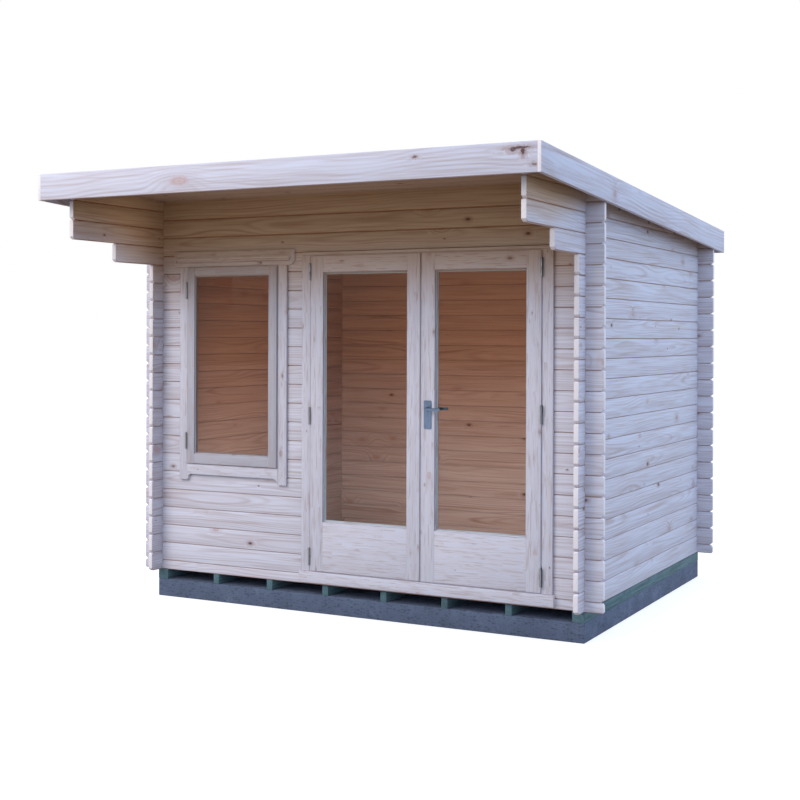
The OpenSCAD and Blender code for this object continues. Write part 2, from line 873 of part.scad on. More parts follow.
concrete_base();
outer_bearers();
inner_bearers();
floor_boards();
front_foot_log();
front_wall_left();
front_wall_middle();
front_wall_right();
front_wall_top();
back_wall();
left_wall();
right_wall();
purlins();
roof_boards();
roof_felt();
front_fascia();
back_fascia();
side_fascias();
door_frame();
door_threshold();
door_casings();
door_inner_trim();
left_door_stiles();
left_door_rails();
left_door_glass();
left_door_strip();
right_door_stiles();
right_door_rails();
right_door_glass();
left_hinge_pins();
left_hinge_sleeves();
right_hinge_pins();
right_hinge_sleeves();
handle_plates();
handle_levers();
handle_spindle();
window_frame();
window_sash();
window_glass();
window_casings();
window_head_board();
window_sill_board();
window_inner_trim();
window_hinges();
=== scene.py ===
"""Looks of a small log cabin with a pent roof, a front canopy and glazed double doors.

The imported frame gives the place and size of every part. Each sub-assembly is a class that
models its pieces and dresses them, each finish is a frozen dataclass that makes one
material, and main() builds them in order, with a line in the log for each piece.
"""

import itertools
import json
import logging
import math
import random
from collections.abc import Callable, Iterator, Sequence
from contextlib import contextmanager
from dataclasses import dataclass, replace
from enum import Enum
from typing import Any

import bmesh
import bpy
import numpy as np
from mathutils import Matrix, Vector

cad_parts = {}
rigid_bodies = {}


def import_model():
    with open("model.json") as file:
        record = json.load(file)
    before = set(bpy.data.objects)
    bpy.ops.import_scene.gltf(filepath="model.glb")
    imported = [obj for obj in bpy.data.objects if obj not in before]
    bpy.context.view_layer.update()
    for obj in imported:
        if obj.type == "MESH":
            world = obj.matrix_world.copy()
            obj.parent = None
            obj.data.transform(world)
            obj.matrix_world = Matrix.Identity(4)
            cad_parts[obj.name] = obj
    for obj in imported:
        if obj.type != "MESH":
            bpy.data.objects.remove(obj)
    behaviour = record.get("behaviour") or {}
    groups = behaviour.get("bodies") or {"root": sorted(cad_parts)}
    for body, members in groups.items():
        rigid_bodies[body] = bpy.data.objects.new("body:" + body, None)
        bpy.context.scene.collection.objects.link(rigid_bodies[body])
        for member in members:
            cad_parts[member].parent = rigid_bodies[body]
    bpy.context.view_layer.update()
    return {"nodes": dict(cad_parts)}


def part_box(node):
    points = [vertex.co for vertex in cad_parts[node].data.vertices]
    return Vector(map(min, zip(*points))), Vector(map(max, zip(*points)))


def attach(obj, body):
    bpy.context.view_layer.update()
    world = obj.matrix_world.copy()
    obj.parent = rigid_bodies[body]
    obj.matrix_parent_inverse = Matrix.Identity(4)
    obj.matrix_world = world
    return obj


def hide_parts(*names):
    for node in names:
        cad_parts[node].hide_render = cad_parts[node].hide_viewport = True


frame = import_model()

logging.basicConfig(level=logging.INFO, format="%(message)s")
LOG = logging.getLogger("cabin")

MM = 0.001
Colour = tuple[float, float, float, float]
Point = Sequence[float]
Box = tuple[Vector, Vector]
Piece = bpy.types.Object
Tree = bpy.types.NodeTree
Node = bpy.types.Node
Wire = bpy.types.Node | bpy.types.NodeSocket
Test = Callable[[Vector, Vector], bool]
BOARD_THICKNESS = 19 * MM
NEAR = 1 * MM  # two places that are closer than this count as one
ALONG = 0.9  # a direction runs along an axis when its part on that axis is more than this
MERGE = 0.02 * MM  # loose CAD points that are closer than this are one point
FLAT = math.radians(0.5)  # CAD faces that turn less than this are one face
SHARP = math.radians(30)  # an edge that turns more than this is rounded
SMOOTH = math.radians(40)  # faces that turn less than this are shaded as one surface
SAWN = 0.6  # a face is a sawn end when its normal has more than this along the grain
CHAMFER = (-0.95, -0.3)  # a chamfer faces down when its normal's Z is between these
TRUNK = (2.0, 60.0)  # how far along its trunk a board can begin
PITH = (0.03, 0.08)  # how deep the pith can lie behind a board's middle


class Body(Enum):
    """The bodies that a piece can ride on."""

    CABIN = "cabin"
    LEFT_DOOR = "left_door"
    RIGHT_DOOR = "right_door"
    LEVER = "door_lever"


class Slot(Enum):
    """The record's material slots."""

    LOGS = "spruce_logs"
    JOINERY = "spruce_joinery"
    FASCIA = "spruce_fascia"
    BOARDS = "spruce_boards"
    TREATED = "treated_wood"
    CONCRETE = "concrete"
    FELT = "roofing_felt"
    GLASS = "glass"
    STEEL = "steel"


class Grain(Enum):
    """The way a board's grain runs: along its longest side, or along a named axis."""

    LONGEST = -1
    X = 0


def linear(hex_colour: str) -> Colour:
    """Turns an sRGB hex colour into the linear colour that a shader takes.

    Args:
        hex_colour: Six hex digits after a hash sign.

    Returns:
        Red, green, blue and an alpha of one.
    """
    parts = [int(hex_colour[i : i + 2], 16) / 255 for i in (1, 3, 5)]
    lin = [p / 12.92 if p <= 0.04045 else ((p + 0.055) / 1.055) ** 2.4 for p in parts]
    return (lin[0], lin[1], lin[2], 1.0)


OPTION = {
    "Attribute": "attribute_name",
    "MapRange": "interpolation_type",
    "Math": "operation",
    "Mix": "data_type",
    "TexVoronoi": "voronoi_dimensions",
    "TexWhiteNoise": "noise_dimensions",
    "VectorMath": "operation",
}


def node(
    tree: Tree,
    kind: str,
    *inputs: Any,
    ramp: Sequence[tuple[float, float | str]] = (),
    **settings: Any,
) -> Node:
    """Adds a node to a tree with its settings, its inputs set or linked, and its ramp.

    Args:
        tree: The material's or the world's node tree.
        kind: The node's type, and after a dot the value of its main option.
        inputs: A value for each input in use, in order, or one dict of values by name. A
            socket is linked, and a node is linked from its first output in use. A hex
            colour is set as a linear one, and anything else as it is.
        ramp: Places and greys or hex colours of a colour ramp.
        settings: The node's own properties.

    Returns:
        The new node.
    """
    kind, _, option = kind.partition(".")
    made = tree.nodes.new(f"ShaderNode{kind}")
    if option:
        settings[OPTION[kind]] = option
    for name, value in settings.items():
        setattr(made, name, value)
    if inputs and isinstance(inputs[0], dict):
        pairs = [(made.inputs[name], value) for name, value in inputs[0].items()]
    else:
        pairs = list(zip((socket for socket in made.inputs if socket.enabled), inputs))
    for socket, value in pairs:
        if isinstance(value, bpy.types.Node):
            value = next(output for output in value.outputs if output.enabled)
        if isinstance(value, bpy.types.NodeSocket):
            tree.links.new(value, socket)
        else:
            socket.default_value = linear(value) if isinstance(value, str) else value
    if ramp:
        stops = made.color_ramp.elements
        while len(stops) < len(ramp):
            stops.new(0.5)
        for stop, (place, shade) in zip(stops, ramp):
            stop.position = place
            is_hex = isinstance(shade, str)
            stop.color = linear(shade) if is_hex else (shade, shade, shade, 1.0)
    return made


@dataclass(frozen=True)
class RoofPlane:
    """The underside of the roof boards: its height at Y = 0, and its fall for each metre."""

    level: float
    fall: float

    @classmethod
    def read(cls) -> "RoofPlane":
        """Reads the plane from the frame's roof boards.

        Returns:
            The plane.
        """
        low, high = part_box("roof_boards")
        front = high.z - BOARD_THICKNESS
        fall = (front - low.z) / (high.y - low.y)
        return cls(front + fall * low.y, fall)

    @property
    def slope(self) -> float:
        """Returns the angle of the slope in radians."""
        return math.atan(self.fall)

    def under(self, y: float) -> float:
        """Returns the height of the underside at a place along Y."""
        return self.level - self.fall * y


ROOF = RoofPlane.read()


def new_material(name: str) -> bpy.types.Material:
    """Makes a node material with an empty tree.

    Args:
        name: The material's name.

    Returns:
        The material.
    """
    material = bpy.data.materials.new(name)
    material.use_nodes = True
    material.node_tree.nodes.clear()
    return material


# ---------------------------------------------------------------- modelling by hand


def clear_selection() -> None:
    """Leaves edit mode and deselects every object."""
    if bpy.context.mode != "OBJECT":
        bpy.ops.object.mode_set(mode="OBJECT")
    bpy.ops.object.select_all(action="DESELECT")


def take(piece: Piece) -> None:
    """Makes a piece the active object and the only selected one.

    Args:
        piece: The piece.
    """
    clear_selection()
    piece.select_set(True)
    bpy.context.view_layer.objects.active = piece


def settle(piece: Piece, name: str) -> Piece:
    """Names a piece and puts its place and turn into its mesh.

    Args:
        piece: The piece.
        name: Its name.

    Returns:
        The same piece.
    """
    take(piece)
    bpy.ops.object.transform_apply(location=True, rotation=True, scale=True)
    piece.name = piece.data.name = name
    return piece


def add_block(name: str, low: Point, high: Point) -> Piece:
    """Adds a cube primitive that fills the space between two corners.

    Args:
        name: The piece's name.
        low: Its lowest corner.
        high: Its highest corner.

    Returns:
        The block, to be shaped further.
    """
    clear_selection()
    low, high = Vector(low), Vector(high)
    bpy.ops.mesh.primitive_cube_add(size=1.0, location=(low + high) / 2, scale=high - low)
    return settle(bpy.context.object, name)


def add_rod(
    name: str, foot: Point, radius: float, length: float, turn: Point = (0, 0, 0), sides: int = 32
) -> Piece:
    """Adds a cylinder primitive that stands on a point.

    Args:
        name: The piece's name.
        foot: The middle of its lower end.
        radius: Its radius.
        length: Its length.
        turn: The turn of its axis away from Z, in radians about X, Y and Z.
        sides: How many sides it has.

    Returns:
        The rod, to be shaped further.
    """
    clear_selection()
    bpy.ops.mesh.primitive_cylinder_add(vertices=sides, radius=radius, depth=length)
    rod = bpy.context.object
    rod.data.transform(Matrix.Translation((0, 0, length / 2)))
    rod.rotation_euler = turn
    rod.location = foot
    return settle(rod, name)


@contextmanager
def editing(piece: Piece, mode: str = "FACE") -> Iterator[None]:
    """Opens a piece in edit mode with nothing selected, and closes it afterwards.

    Args:
        piece: The piece to edit.
        mode: VERT, EDGE or FACE.
    """
    take(piece)
    bpy.ops.object.mode_set(mode="EDIT")
    bpy.ops.mesh.select_mode(type=mode)
    bpy.ops.mesh.select_all(action="DESELECT")
    yield
    bpy.ops.object.mode_set(mode="OBJECT")


def pick(piece: Piece, test: Test) -> None:
    """Selects what passes a test, of the points, edges or faces that are being edited.

    Args:
        piece: The piece that is open in edit mode.
        test: Takes the middle of a point, edge or face, and its direction: an edge's is the
            way it runs, and the others' is their normal.
    """
    mesh = bmesh.from_edit_mesh(piece.data)
    if "VERT" in mesh.select_mode:
        found = [(point, point.co, point.normal) for point in mesh.verts]
    elif "EDGE" in mesh.select_mode:
        ends = [(edge, *(point.co for point in edge.verts)) for edge in mesh.edges]
        found = [(edge, (a + b) / 2, (b - a).normalized()) for edge, a, b in ends]
    else:
        found = [(face, face.calc_center_median(), face.normal) for face in mesh.faces]
    for part, middle, direction in found:
        part.select_set(test(middle, direction))
    mesh.select_flush_mode()
    bmesh.update_edit_mesh(piece.data)


def soften(piece: Piece, width: float, segments: int = 2) -> Piece:
    """Rounds a piece's sharp edges and shades it smooth between them.

    Args:
        piece: The piece.
        width: How far the rounding reaches in from an edge.
        segments: Faces across the rounding.

    Returns:
        The same piece.
    """
    take(piece)
    bevel = piece.modifiers.new("Bevel", "BEVEL")
    bevel.width = width
    bevel.segments = segments
    bevel.limit_method = "ANGLE"
    bevel.angle_limit = SHARP
    bpy.ops.object.modifier_apply(modifier=bevel.name)
    bpy.ops.object.shade_smooth_by_angle(angle=SMOOTH)
    return piece


def copy_at(piece: Piece, name: str, move: Matrix) -> Piece:
    """Copies a piece with a mesh of its own and moves the copy.

    Args:
        piece: What is copied.
        name: The copy's name.
        move: Where the copy goes, from where the piece is.

    Returns:
        The copy.
    """
    mesh = piece.data.copy()
    mesh.transform(move)
    made = bpy.data.objects.new(name, mesh)
    bpy.context.scene.collection.objects.link(made)
    return made


def join(name: str, parts: Sequence[Piece]) -> Piece:
    """Joins parts of one piece that lie on one body into one object.

    Args:
        name: The piece's name.
        parts: The parts.

    Returns:
        The joined piece.
    """
    take(parts[0])
    for part in parts[1:]:
        part.select_set(True)
    if len(parts) > 1:
        bpy.ops.object.join()
    parts[0].name = parts[0].data.name = name
    return parts[0]


def copy_node(name: str, suffix: str) -> Piece:
    """Copies a CAD node as a piece, with its loose triangles merged into whole faces.

    Args:
        name: The CAD node.
        suffix: What follows its name in the piece's name.

    Returns:
        The copy, with sharp edges.
    """
    piece = copy_at(frame["nodes"][name], f"{name}_{suffix}", Matrix())
    piece.data.name = piece.name
    with editing(piece, "VERT"):
        bpy.ops.mesh.select_all(action="SELECT")
        bpy.ops.mesh.remove_doubles(threshold=MERGE)
        bpy.ops.mesh.dissolve_limited(angle_limit=FLAT)
        bpy.ops.mesh.customdata_custom_splitnormals_clear()
    return piece


# ---------------------------------------------------------------- the grain of each board


def islands(count: int, edges: np.ndarray) -> np.ndarray:
    """Labels the vertices of each loose part of a mesh.

    Args:
        count: How many vertices there are.
        edges: Pairs of vertices.

    Returns:
        For each vertex, the lowest vertex of its part.
    """
    label = np.arange(count)
    while True:
        low = np.minimum(label[edges[:, 0]], label[edges[:, 1]])
        new = label.copy()
        np.minimum.at(new, edges[:, 0], low)
        np.minimum.at(new, edges[:, 1], low)
        new = new[new]
        if np.array_equal(new, label):
            return label
        label = new


def read_mesh(items: Any, name: str, width: int = 1, kind: type = np.float32) -> np.ndarray:
    """Reads one property of all of a mesh's items.

    Args:
        items: The mesh's vertices, edges, faces or corners.
        name: The property.
        width: How many numbers it has.
        kind: What kind of number it has.

    Returns:
        One row for each item, or one number where the width is 1.
    """
    values = np.empty(len(items) * width, kind)
    items.foreach_get(name, values)
    return values.reshape(-1, width) if width > 1 else values


def mark_boards(
    piece: Piece,
    seed: int,
    grain: Grain = Grain.LONGEST,
    fall: float = 0.0,
    aside: tuple[float, float] = (0.0, 0.07),
) -> None:
    """Gives each board of a piece its own place in the timber that it was sawn from.

    The attribute "board" holds, in metres, how far a point lies along the grain and how far
    from the tree's pith across it. "end_grain" is 1 on sawn ends and on slants cut across
    them, "under_chamfer" is 1 on long chamfers that face down, and "tone" is from 0 to 1 and
    the same all over one board.

    Args:
        piece: A finished piece of one or more loose boards.
        seed: Makes the same choices on each run.
        grain: Which way the grain runs.
        fall: Fall of a sloping board for each metre along Y.
        aside: The least and most that the pith lies beside a board's middle.
    """
    mesh = piece.data
    count = len(mesh.vertices)
    level = read_mesh(mesh.vertices, "co", 3)
    level[:, 2] += fall * level[:, 1]
    label = islands(count, read_mesh(mesh.edges, "vertices", 2, np.int32))
    parts, part_of = np.unique(label, return_inverse=True)
    choose = random.Random(seed)
    board = np.zeros((count, 3), np.float32)
    tone = np.zeros(count, np.float32)
    axis_of = np.zeros(len(parts), np.int32)
    boxes = [(level[part_of == i].min(0), level[part_of == i].max(0)) for i in range(len(parts))]
    order = sorted(range(len(parts)), key=lambda i: tuple(np.round(boxes[i][0] + boxes[i][1], 3)))
    for i in order:
        mine = part_of == i
        low, high = boxes[i]
        longest = np.argsort(-(high - low))
        if grain is not Grain.LONGEST:
            longest = [grain.value, *(axis for axis in longest if axis != grain.value)]
        along, across, through = longest
        local = level[mine] - (low + high) / 2
        side = choose.choice((-1, 1))
        board[mine, 0] = local[:, along] * choose.choice((-1, 1)) + choose.uniform(*TRUNK)
        board[mine, 1] = local[:, across] + choose.choice((-1, 1)) * choose.uniform(*aside)
        board[mine, 2] = local[:, through] * side + choose.uniform(*PITH)
        tone[mine] = choose.random()
        axis_of[i] = along
    normals = read_mesh(mesh.polygons, "normal", 3)
    first_corners = read_mesh(mesh.polygons, "loop_start", kind=np.int32)
    first_points = read_mesh(mesh.loops, "vertex_index", kind=np.int32)[first_corners]
    face_axis = axis_of[part_of[first_points]]
    facing = np.abs(normals[np.arange(len(face_axis)), face_axis])
    down = normals[:, 2]
    ends = facing > SAWN
    under = (down > CHAMFER[0]) & (down < CHAMFER[1]) & ~ends
    for name, kind, domain, field, values in (
        ("board", "FLOAT_VECTOR", "POINT", "vector", board),
        ("tone", "FLOAT", "POINT", "value", tone),
        ("end_grain", "FLOAT", "FACE", "value", ends),
        ("under_chamfer", "FLOAT", "FACE", "value", under),
    ):
        data = mesh.attributes.new(name, kind, domain).data
        data.foreach_set(field, values.astype(np.float32).ravel())


def dress(
    piece: Piece, finish: "Finish", stands_for: Sequence[str] = (), body: Body = Body.CABIN
) -> None:
    """Gives a finished piece its material and its body, and hides the nodes it stands for.

    Args:
        piece: The piece.
        finish: Its finish.
        stands_for: The CAD nodes that it replaces.
        body: The body that it moves with.
    """
    piece.data.materials.clear()
    piece.data.materials.append(finish.material())
    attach(piece, body.value)
    if stands_for:
        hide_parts(*stands_for)


# ---------------------------------------------------------------- finishes


@dataclass(frozen=True)
class Finish:
    """A named finish for one of the record's slots, whose material is made once."""

    name: str
    slot: Slot

    def material(self) -> bpy.types.Material:
        """Finds the finish's material, and makes it the first time.

        Returns:
            The material.
        """
        made = bpy.data.materials.get(self.name)
        if made is None:
            made = new_material(self.name)
            node(made.node_tree, "OutputMaterial", self.surface(made.node_tree))
        return made

    def surface(self, t: Tree) -> Node:
        """Adds the finish's nodes to a tree and returns its shader."""
        raise NotImplementedError


@dataclass(frozen=True)
class FeatureKnot:
    """A knot at a known place on a board's face.

    x, y and z are its middle, where None means that it runs through along that axis. dark
    goes from 0 for a live, pale knot to 1 for a dead, black one.
    """

    x: float | None
    y: float | None
    z: float | None
    length: float
    height: float
    dark: float


@dataclass(frozen=True)
class PlanedSpruce(Finish):
    """Planed, untreated spruce: pale early wood, mauve-brown late wood lines and knots.

    Spruce is sawn flat, so its rings show as long arches and nearly straight lines. Real
    rings are 2 to 4 mm apart. Here they are drawn wider, so that they show at a few metres.
    Wood close under the roof gets painted shade: a warm brown for the roof's shade and the
    warm light bounced into it. Wood inside is browned, partly the warmer tone of unweathered
    wood and partly painted shade and warm bounced light, which darken it higher up.
    """

    pale: str = "#d2d4e3"
    blush: str = "#c8c5d1"
    late: str = "#977c77"
    streak: str = "#ae9c9b"
    # painted shade: brown laid on long chamfers that face down, where the joints' V is in shade
    chamfer: str = "#ab8b7c"
    live_knot: str = "#bda9ad"
    dead_knot: str = "#4f3534"
    end_pale: str = "#e7e1e6"
    # painted shade: warm brown multiplied into the wood close under the roof
    canopy: str = "#ecc592"
    # indoors: partly the wood's warmer tone, partly painted shade and bounced light, darker up
    # high
    indoor_high: str = "#c79377"
    indoor_low: str = "#e4d0d0"
    indoor_late: str = "#9c644a"
    ring: float = 11 * MM
    ring_contrast: float = 0.64
    sway: float = 0.038
    ripple: float = 0.4
    knot_spacing: float = 0.15
    knotless: float = 0.77
    laminated: bool = False
    lamella_width: float = 30 * MM
    lamella_length: float = 0.3
    wall_gap: float = 16 * MM
    inner_face: float = -0.7555
    # heights between which the indoor painted shade deepens upward
    indoor_lit_below: float = 0.3
    indoor_shaded_above: float = 1.7
    canopy_back: float = -0.76
    canopy_front: float = -1.3
    # how far below the roof the painted shade reaches, at the sides and in the canopy
    eaves_shade_reach: float = 0.2
    canopy_shade_reach: float = 0.9
    # whether sawn ends are left out of the painted shade
    pale_ends: bool = True
    ragged: tuple[float, float, float] = (0.03, 0.03, 0.018)
    features: tuple[FeatureKnot, ...] = ()

    def surface(self, t: Tree) -> Node:
        """Adds the spruce's nodes to a tree.

        Args:
            t: The material's tree.

        Returns:
            The shader.
        """
        board = node(t, "Attribute.board").outputs["Vector"]
        tone = node(t, "Attribute.tone").outputs["Fac"]
        end = node(t, "Attribute.end_grain").outputs["Fac"]
        under = node(t, "Attribute.under_chamfer").outputs["Fac"]
        place = node(t, "SeparateXYZ", node(t, "TexCoord").outputs["Object"]).outputs
        if self.laminated:
            board, tone = self.laminate(t, board, tone)
        knot, dark = self.knots(t, board)
        rings = self.rings(t, board, knot)
        colour = self.face_colour(t, board, tone, rings)
        colour = self.knot_colour(t, colour, knot, dark)
        between, inside = self.indoors(t, place)
        # painted shade in the down-facing chamfers of the joints, left off indoors
        under = node(t, "Math.SUBTRACT", under, inside, use_clamp=True)
        colour = node(t, "Mix.RGBA", under, colour, self.chamfer)
        saw = node(t, "TexNoise", {"Vector": board, "Scale": 260.0, "Roughness": 0.7})
        furry = node(t, "MapRange", saw, 0.35, 0.75)
        lines = node(t, "Math.MULTIPLY_ADD", rings, 0.35, -0.05)
        lines = node(t, "Math.MULTIPLY_ADD", furry, 0.18, lines, use_clamp=True)
        sawn = node(t, "Mix.RGBA", lines, self.end_pale, self.streak)
        colour = node(t, "Mix.RGBA", end, colour, sawn)
        # painted shade under the roof: the canopy colour is multiplied in
        if self.eaves_shade_reach > 0:
            shade = self.shade(t, place, between, end)
            colour = node(t, "Mix.RGBA", shade, colour, self.canopy, blend_type="MULTIPLY")
        # the indoor brown, with painted shade that darkens upward
        indoor = self.indoor_colour(t, place, colour, rings)
        height = node(t, "Math.MULTIPLY_ADD", rings, 0.6, saw)
        bump = {"Strength": 0.25, "Distance": 0.4 * MM, "Height": height}
        faces = {
            "Base Color": node(t, "Mix.RGBA", inside, colour, indoor),
            "Roughness": node(t, "MapRange", rings, 0.0, 1.0, 0.72, 0.55),
            "Specular IOR Level": 0.3,
            "Normal": node(t, "Bump", bump),
        }
        return node(t, "BsdfPrincipled", faces)

    def laminate(self, t: Tree, board: Wire, tone: Wire) -> tuple[Node, Node]:
        """Cuts the timber into glued, finger-jointed lengths.

        Args:
            t: The material's tree.
            board: The place in the timber.
            tone: The board's own tone.

        Returns:
            The place and the tone, each different in each glued length.
        """
        along, across, _ = node(t, "SeparateXYZ", board).outputs
        row = node(t, "Math.DIVIDE", across, self.lamella_width)
        row = node(t, "Math.FLOOR", row)
        slide = node(t, "TexWhiteNoise.1D", row)
        count = 1 / self.lamella_length
        length = node(t, "Math.MULTIPLY_ADD", along, count, slide)
        length = node(t, "Math.FLOOR", length)
        cell = node(t, "CombineXYZ", length, row, tone)
        chance = node(t, "TexWhiteNoise.3D", cell)
        push = (9.0, 0.12, 0.05)
        colour = chance.outputs["Color"]
        return node(t, "VectorMath.MULTIPLY_ADD", colour, push, board), chance

    def knots(self, t: Tree, board: Wire) -> tuple[Node, Node]:
        """Scatters live and dead knots, and adds the ones at known places.

        Args:
            t: The material's tree.
            board: The place in the timber.

        Returns:
            How far a point is from the nearest knot, in that knot's radii, and how dead and
            dark that knot is.
        """
        across = 1 / self.knot_spacing
        cells = (0.55 * across, across, 0.0)
        cells = node(t, "VectorMath.MULTIPLY", board, cells)
        scatter = node(t, "TexVoronoi.2D", cells, 1.0)
        chance = node(t, "SeparateColor", scatter.outputs["Color"]).outputs
        dark = node(t, "ValToRGB", chance[1], ramp=((0.35, 0.0), (0.6, 0.75), (1.0, 1.0)))
        live = node(t, "MapRange", chance[0], self.knotless, 1.0, 0.001, 0.13)
        radius = node(t, "MapRange", dark, 0.0, 1.0, 1.0, 0.4)
        radius = node(t, "Math.MULTIPLY", radius, live)
        knot = node(t, "Math.DIVIDE", scatter, radius)
        if not self.features:
            return knot, dark
        place = node(t, "TexCoord").outputs["Object"]
        noise = node(t, "TexNoise", place, 75.0, 3.0).outputs["Color"]
        place = node(t, "VectorMath.MULTIPLY_ADD", noise, self.ragged, place)
        for spot in self.features:
            where = (spot.x, spot.y, spot.z)
            half = (spot.length, spot.length, spot.height)
            middle = tuple(0.0 if c is None else c + d / 2 for c, d in zip(where, self.ragged))
            scale = tuple(0.0 if c is None else 1 / r for c, r in zip(where, half))
            away = node(t, "VectorMath.SUBTRACT", place, middle)
            away = node(t, "VectorMath.MULTIPLY", away, scale)
            away = node(t, "VectorMath.LENGTH", away)
            near = node(t, "Math.LESS_THAN", away, knot)
            dark = node(t, "Mix", near, dark, spot.dark)
            knot = node(t, "Math.MINIMUM", knot, away)
        return knot, dark

    def rings(self, t: Tree, board: Wire, knot: Wire) -> Node:
        """Draws the growth rings round a pith that wanders, and lets them flow round knots.

        Args:
            t: The material's tree.
            board: The place in the timber.
            knot: How far the nearest knot is, in its radii.

        Returns:
            1 on a late wood line and 0 between lines.
        """
        slow = node(t, "VectorMath.MULTIPLY", board, (1.1, 1.0, 1.0))
        slow = node(t, "TexNoise", slow, 1.0, 1.0).outputs["Color"]
        slow = node(t, "VectorMath.SUBTRACT", slow, (0.5, 0.5, 0.5))
        sway = (0.0, 2 * self.sway, 2 * self.sway)
        across = node(t, "VectorMath.MULTIPLY_ADD", slow, sway, board)
        across = node(t, "VectorMath.MULTIPLY", across, (0, 1, 1))
        radius = node(t, "VectorMath.LENGTH", across)
        along = node(t, "SeparateXYZ", board).outputs[0]
        radius = node(t, "Math.MULTIPLY_ADD", along, 0.008, radius)
        ripple = node(t, "VectorMath.MULTIPLY", board, (2.2, 14, 14))
        ripple = node(t, "TexNoise", ripple, 1.0, 1.0)
        count = node(t, "Math.DIVIDE", radius, self.ring)
        count = node(t, "Math.MULTIPLY_ADD", ripple, 2 * self.ripple, count)
        push = node(t, "MapRange.SMOOTHERSTEP", knot, 0.0, 5.0, 2.4, 0.0)
        count = node(t, "Math.ADD", count, push)
        year = node(t, "Math.FLOOR", count)
        season = node(t, "Math.FRACT", count)
        shape = ((0.0, 0.25), (0.2, 0.0), (0.45, 0.08), (0.78, 1.0), (0.9, 0.8), (1.0, 0.25))
        line = node(t, "ValToRGB", season, ramp=shape)
        strength = node(t, "TexWhiteNoise.1D", year)
        strength = node(t, "MapRange", strength, 0.0, 1.0, 0.25)
        patch = node(t, "VectorMath.MULTIPLY", board, (1.3, 10, 10))
        patch = node(t, "MapRange", node(t, "TexNoise", patch, 1.0), 0.35, 0.65, 0.25)
        line = node(t, "Math.MULTIPLY", line, strength)
        return node(t, "Math.MULTIPLY", line, patch)

    def face_colour(self, t: Tree, board: Wire, tone: Wire, rings: Wire) -> Node:
        """Colours the long faces: early wood, late wood and fine streaks.

        Args:
            t: The material's tree.
            board: The place in the timber.
            tone: The board's own tone.
            rings: 1 on a late wood line.

        Returns:
            The colour.
        """
        cloud = node(t, "VectorMath.MULTIPLY", board, (1.6, 18, 18))
        cloud = node(t, "MapRange", node(t, "TexNoise", cloud, 1.0), 0.35, 0.7)
        warm = node(t, "Math.MULTIPLY_ADD", tone, 0.35, cloud)
        warm = node(t, "Math.MULTIPLY", warm, 0.75)
        colour = node(t, "Mix.RGBA", warm, self.pale, self.blush)
        late = node(t, "Math.MULTIPLY", rings, self.ring_contrast)
        colour = node(t, "Mix.RGBA", late, colour, self.late)
        fine = (7, 110, 110) if self.laminated else (2.2, 90, 90)
        low, high = (0.54, 0.66) if self.laminated else (0.48, 0.78)
        streaks = node(t, "VectorMath.MULTIPLY", board, fine)
        streaks = node(t, "TexNoise", streaks, 1.0)
        streaks = node(t, "MapRange", streaks, low, high, 0.0, 0.7)
        return node(t, "Mix.RGBA", streaks, colour, self.streak)

    def knot_colour(self, t: Tree, colour: Wire, knot: Wire, dark: Wire) -> Node:
        """Paints the knots and the tinted wood round them.

        Args:
            t: The material's tree.
            colour: The clear wood's colour.
            knot: How far the nearest knot is, in its radii.
            dark: How dead that knot is.

        Returns:
            The colour with its knots.
        """
        halo = node(t, "MapRange.SMOOTHSTEP", knot, 1.0, 3.4, 0.6, 0.0)
        tinted = node(t, "MapRange", dark, 0.0, 1.0, 0.3, 1.0)
        halo = node(t, "Math.MULTIPLY", halo, tinted)
        colour = node(t, "Mix.RGBA", halo, colour, self.late)
        core = node(t, "MapRange.SMOOTHSTEP", knot, 0.8, 1.3, 1.0, 0.0)
        shells = node(t, "Math.MULTIPLY", knot, 12.0)
        shells = node(t, "Math.SINE", shells)
        shells = node(t, "Math.MULTIPLY_ADD", shells, 0.14, dark, use_clamp=True)
        heart = node(t, "Mix.RGBA", shells, self.live_knot, self.dead_knot)
        core = node(t, "Math.MULTIPLY", core, 0.92)
        return node(t, "Mix.RGBA", core, colour, heart)

    def indoors(self, t: Tree, place: Sequence[Wire]) -> tuple[Node, Node]:
        """Tells the wood indoors from the wood outdoors.

        Args:
            t: The material's tree.
            place: The place along X, Y and Z.

        Returns:
            1 between the side walls, and 1 where the place is inside the room too.
        """
        _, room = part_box("floor_boards")
        side = node(t, "Math.ABSOLUTE", place[0])
        between = node(t, "Math.LESS_THAN", side, room.x + self.wall_gap)
        behind = node(t, "Math.GREATER_THAN", place[1], self.inner_face)
        before = node(t, "Math.LESS_THAN", place[1], room.y + self.wall_gap)
        inside = node(t, "Math.MULTIPLY", behind, before)
        return between, node(t, "Math.MULTIPLY", inside, between)

    def indoor_colour(self, t: Tree, place: Sequence[Wire], colour: Wire, rings: Wire) -> Node:
        """Browns the wood indoors, partly its warmer unweathered tone and partly painted shade and
        warm bounced light, darker the higher it is, where less daylight from the openings falls.

        Args:
            t: The material's tree.
            place: The place along X, Y and Z.
            colour: The wood's colour in the open.
            rings: 1 on a late wood line, which darkens more than the rest.

        Returns:
            The colour indoors.
        """
        span = (self.indoor_lit_below, self.indoor_shaded_above)
        up = node(t, "MapRange.SMOOTHSTEP", place[2], *span)
        brown = node(t, "Mix.RGBA", up, self.indoor_low, self.indoor_high)
        late = node(t, "Math.MULTIPLY", rings, 0.25)
        brown = node(t, "Mix.RGBA", late, brown, self.indoor_late)
        return node(t, "Mix.RGBA", 1.0, colour, brown, blend_type="MULTIPLY")

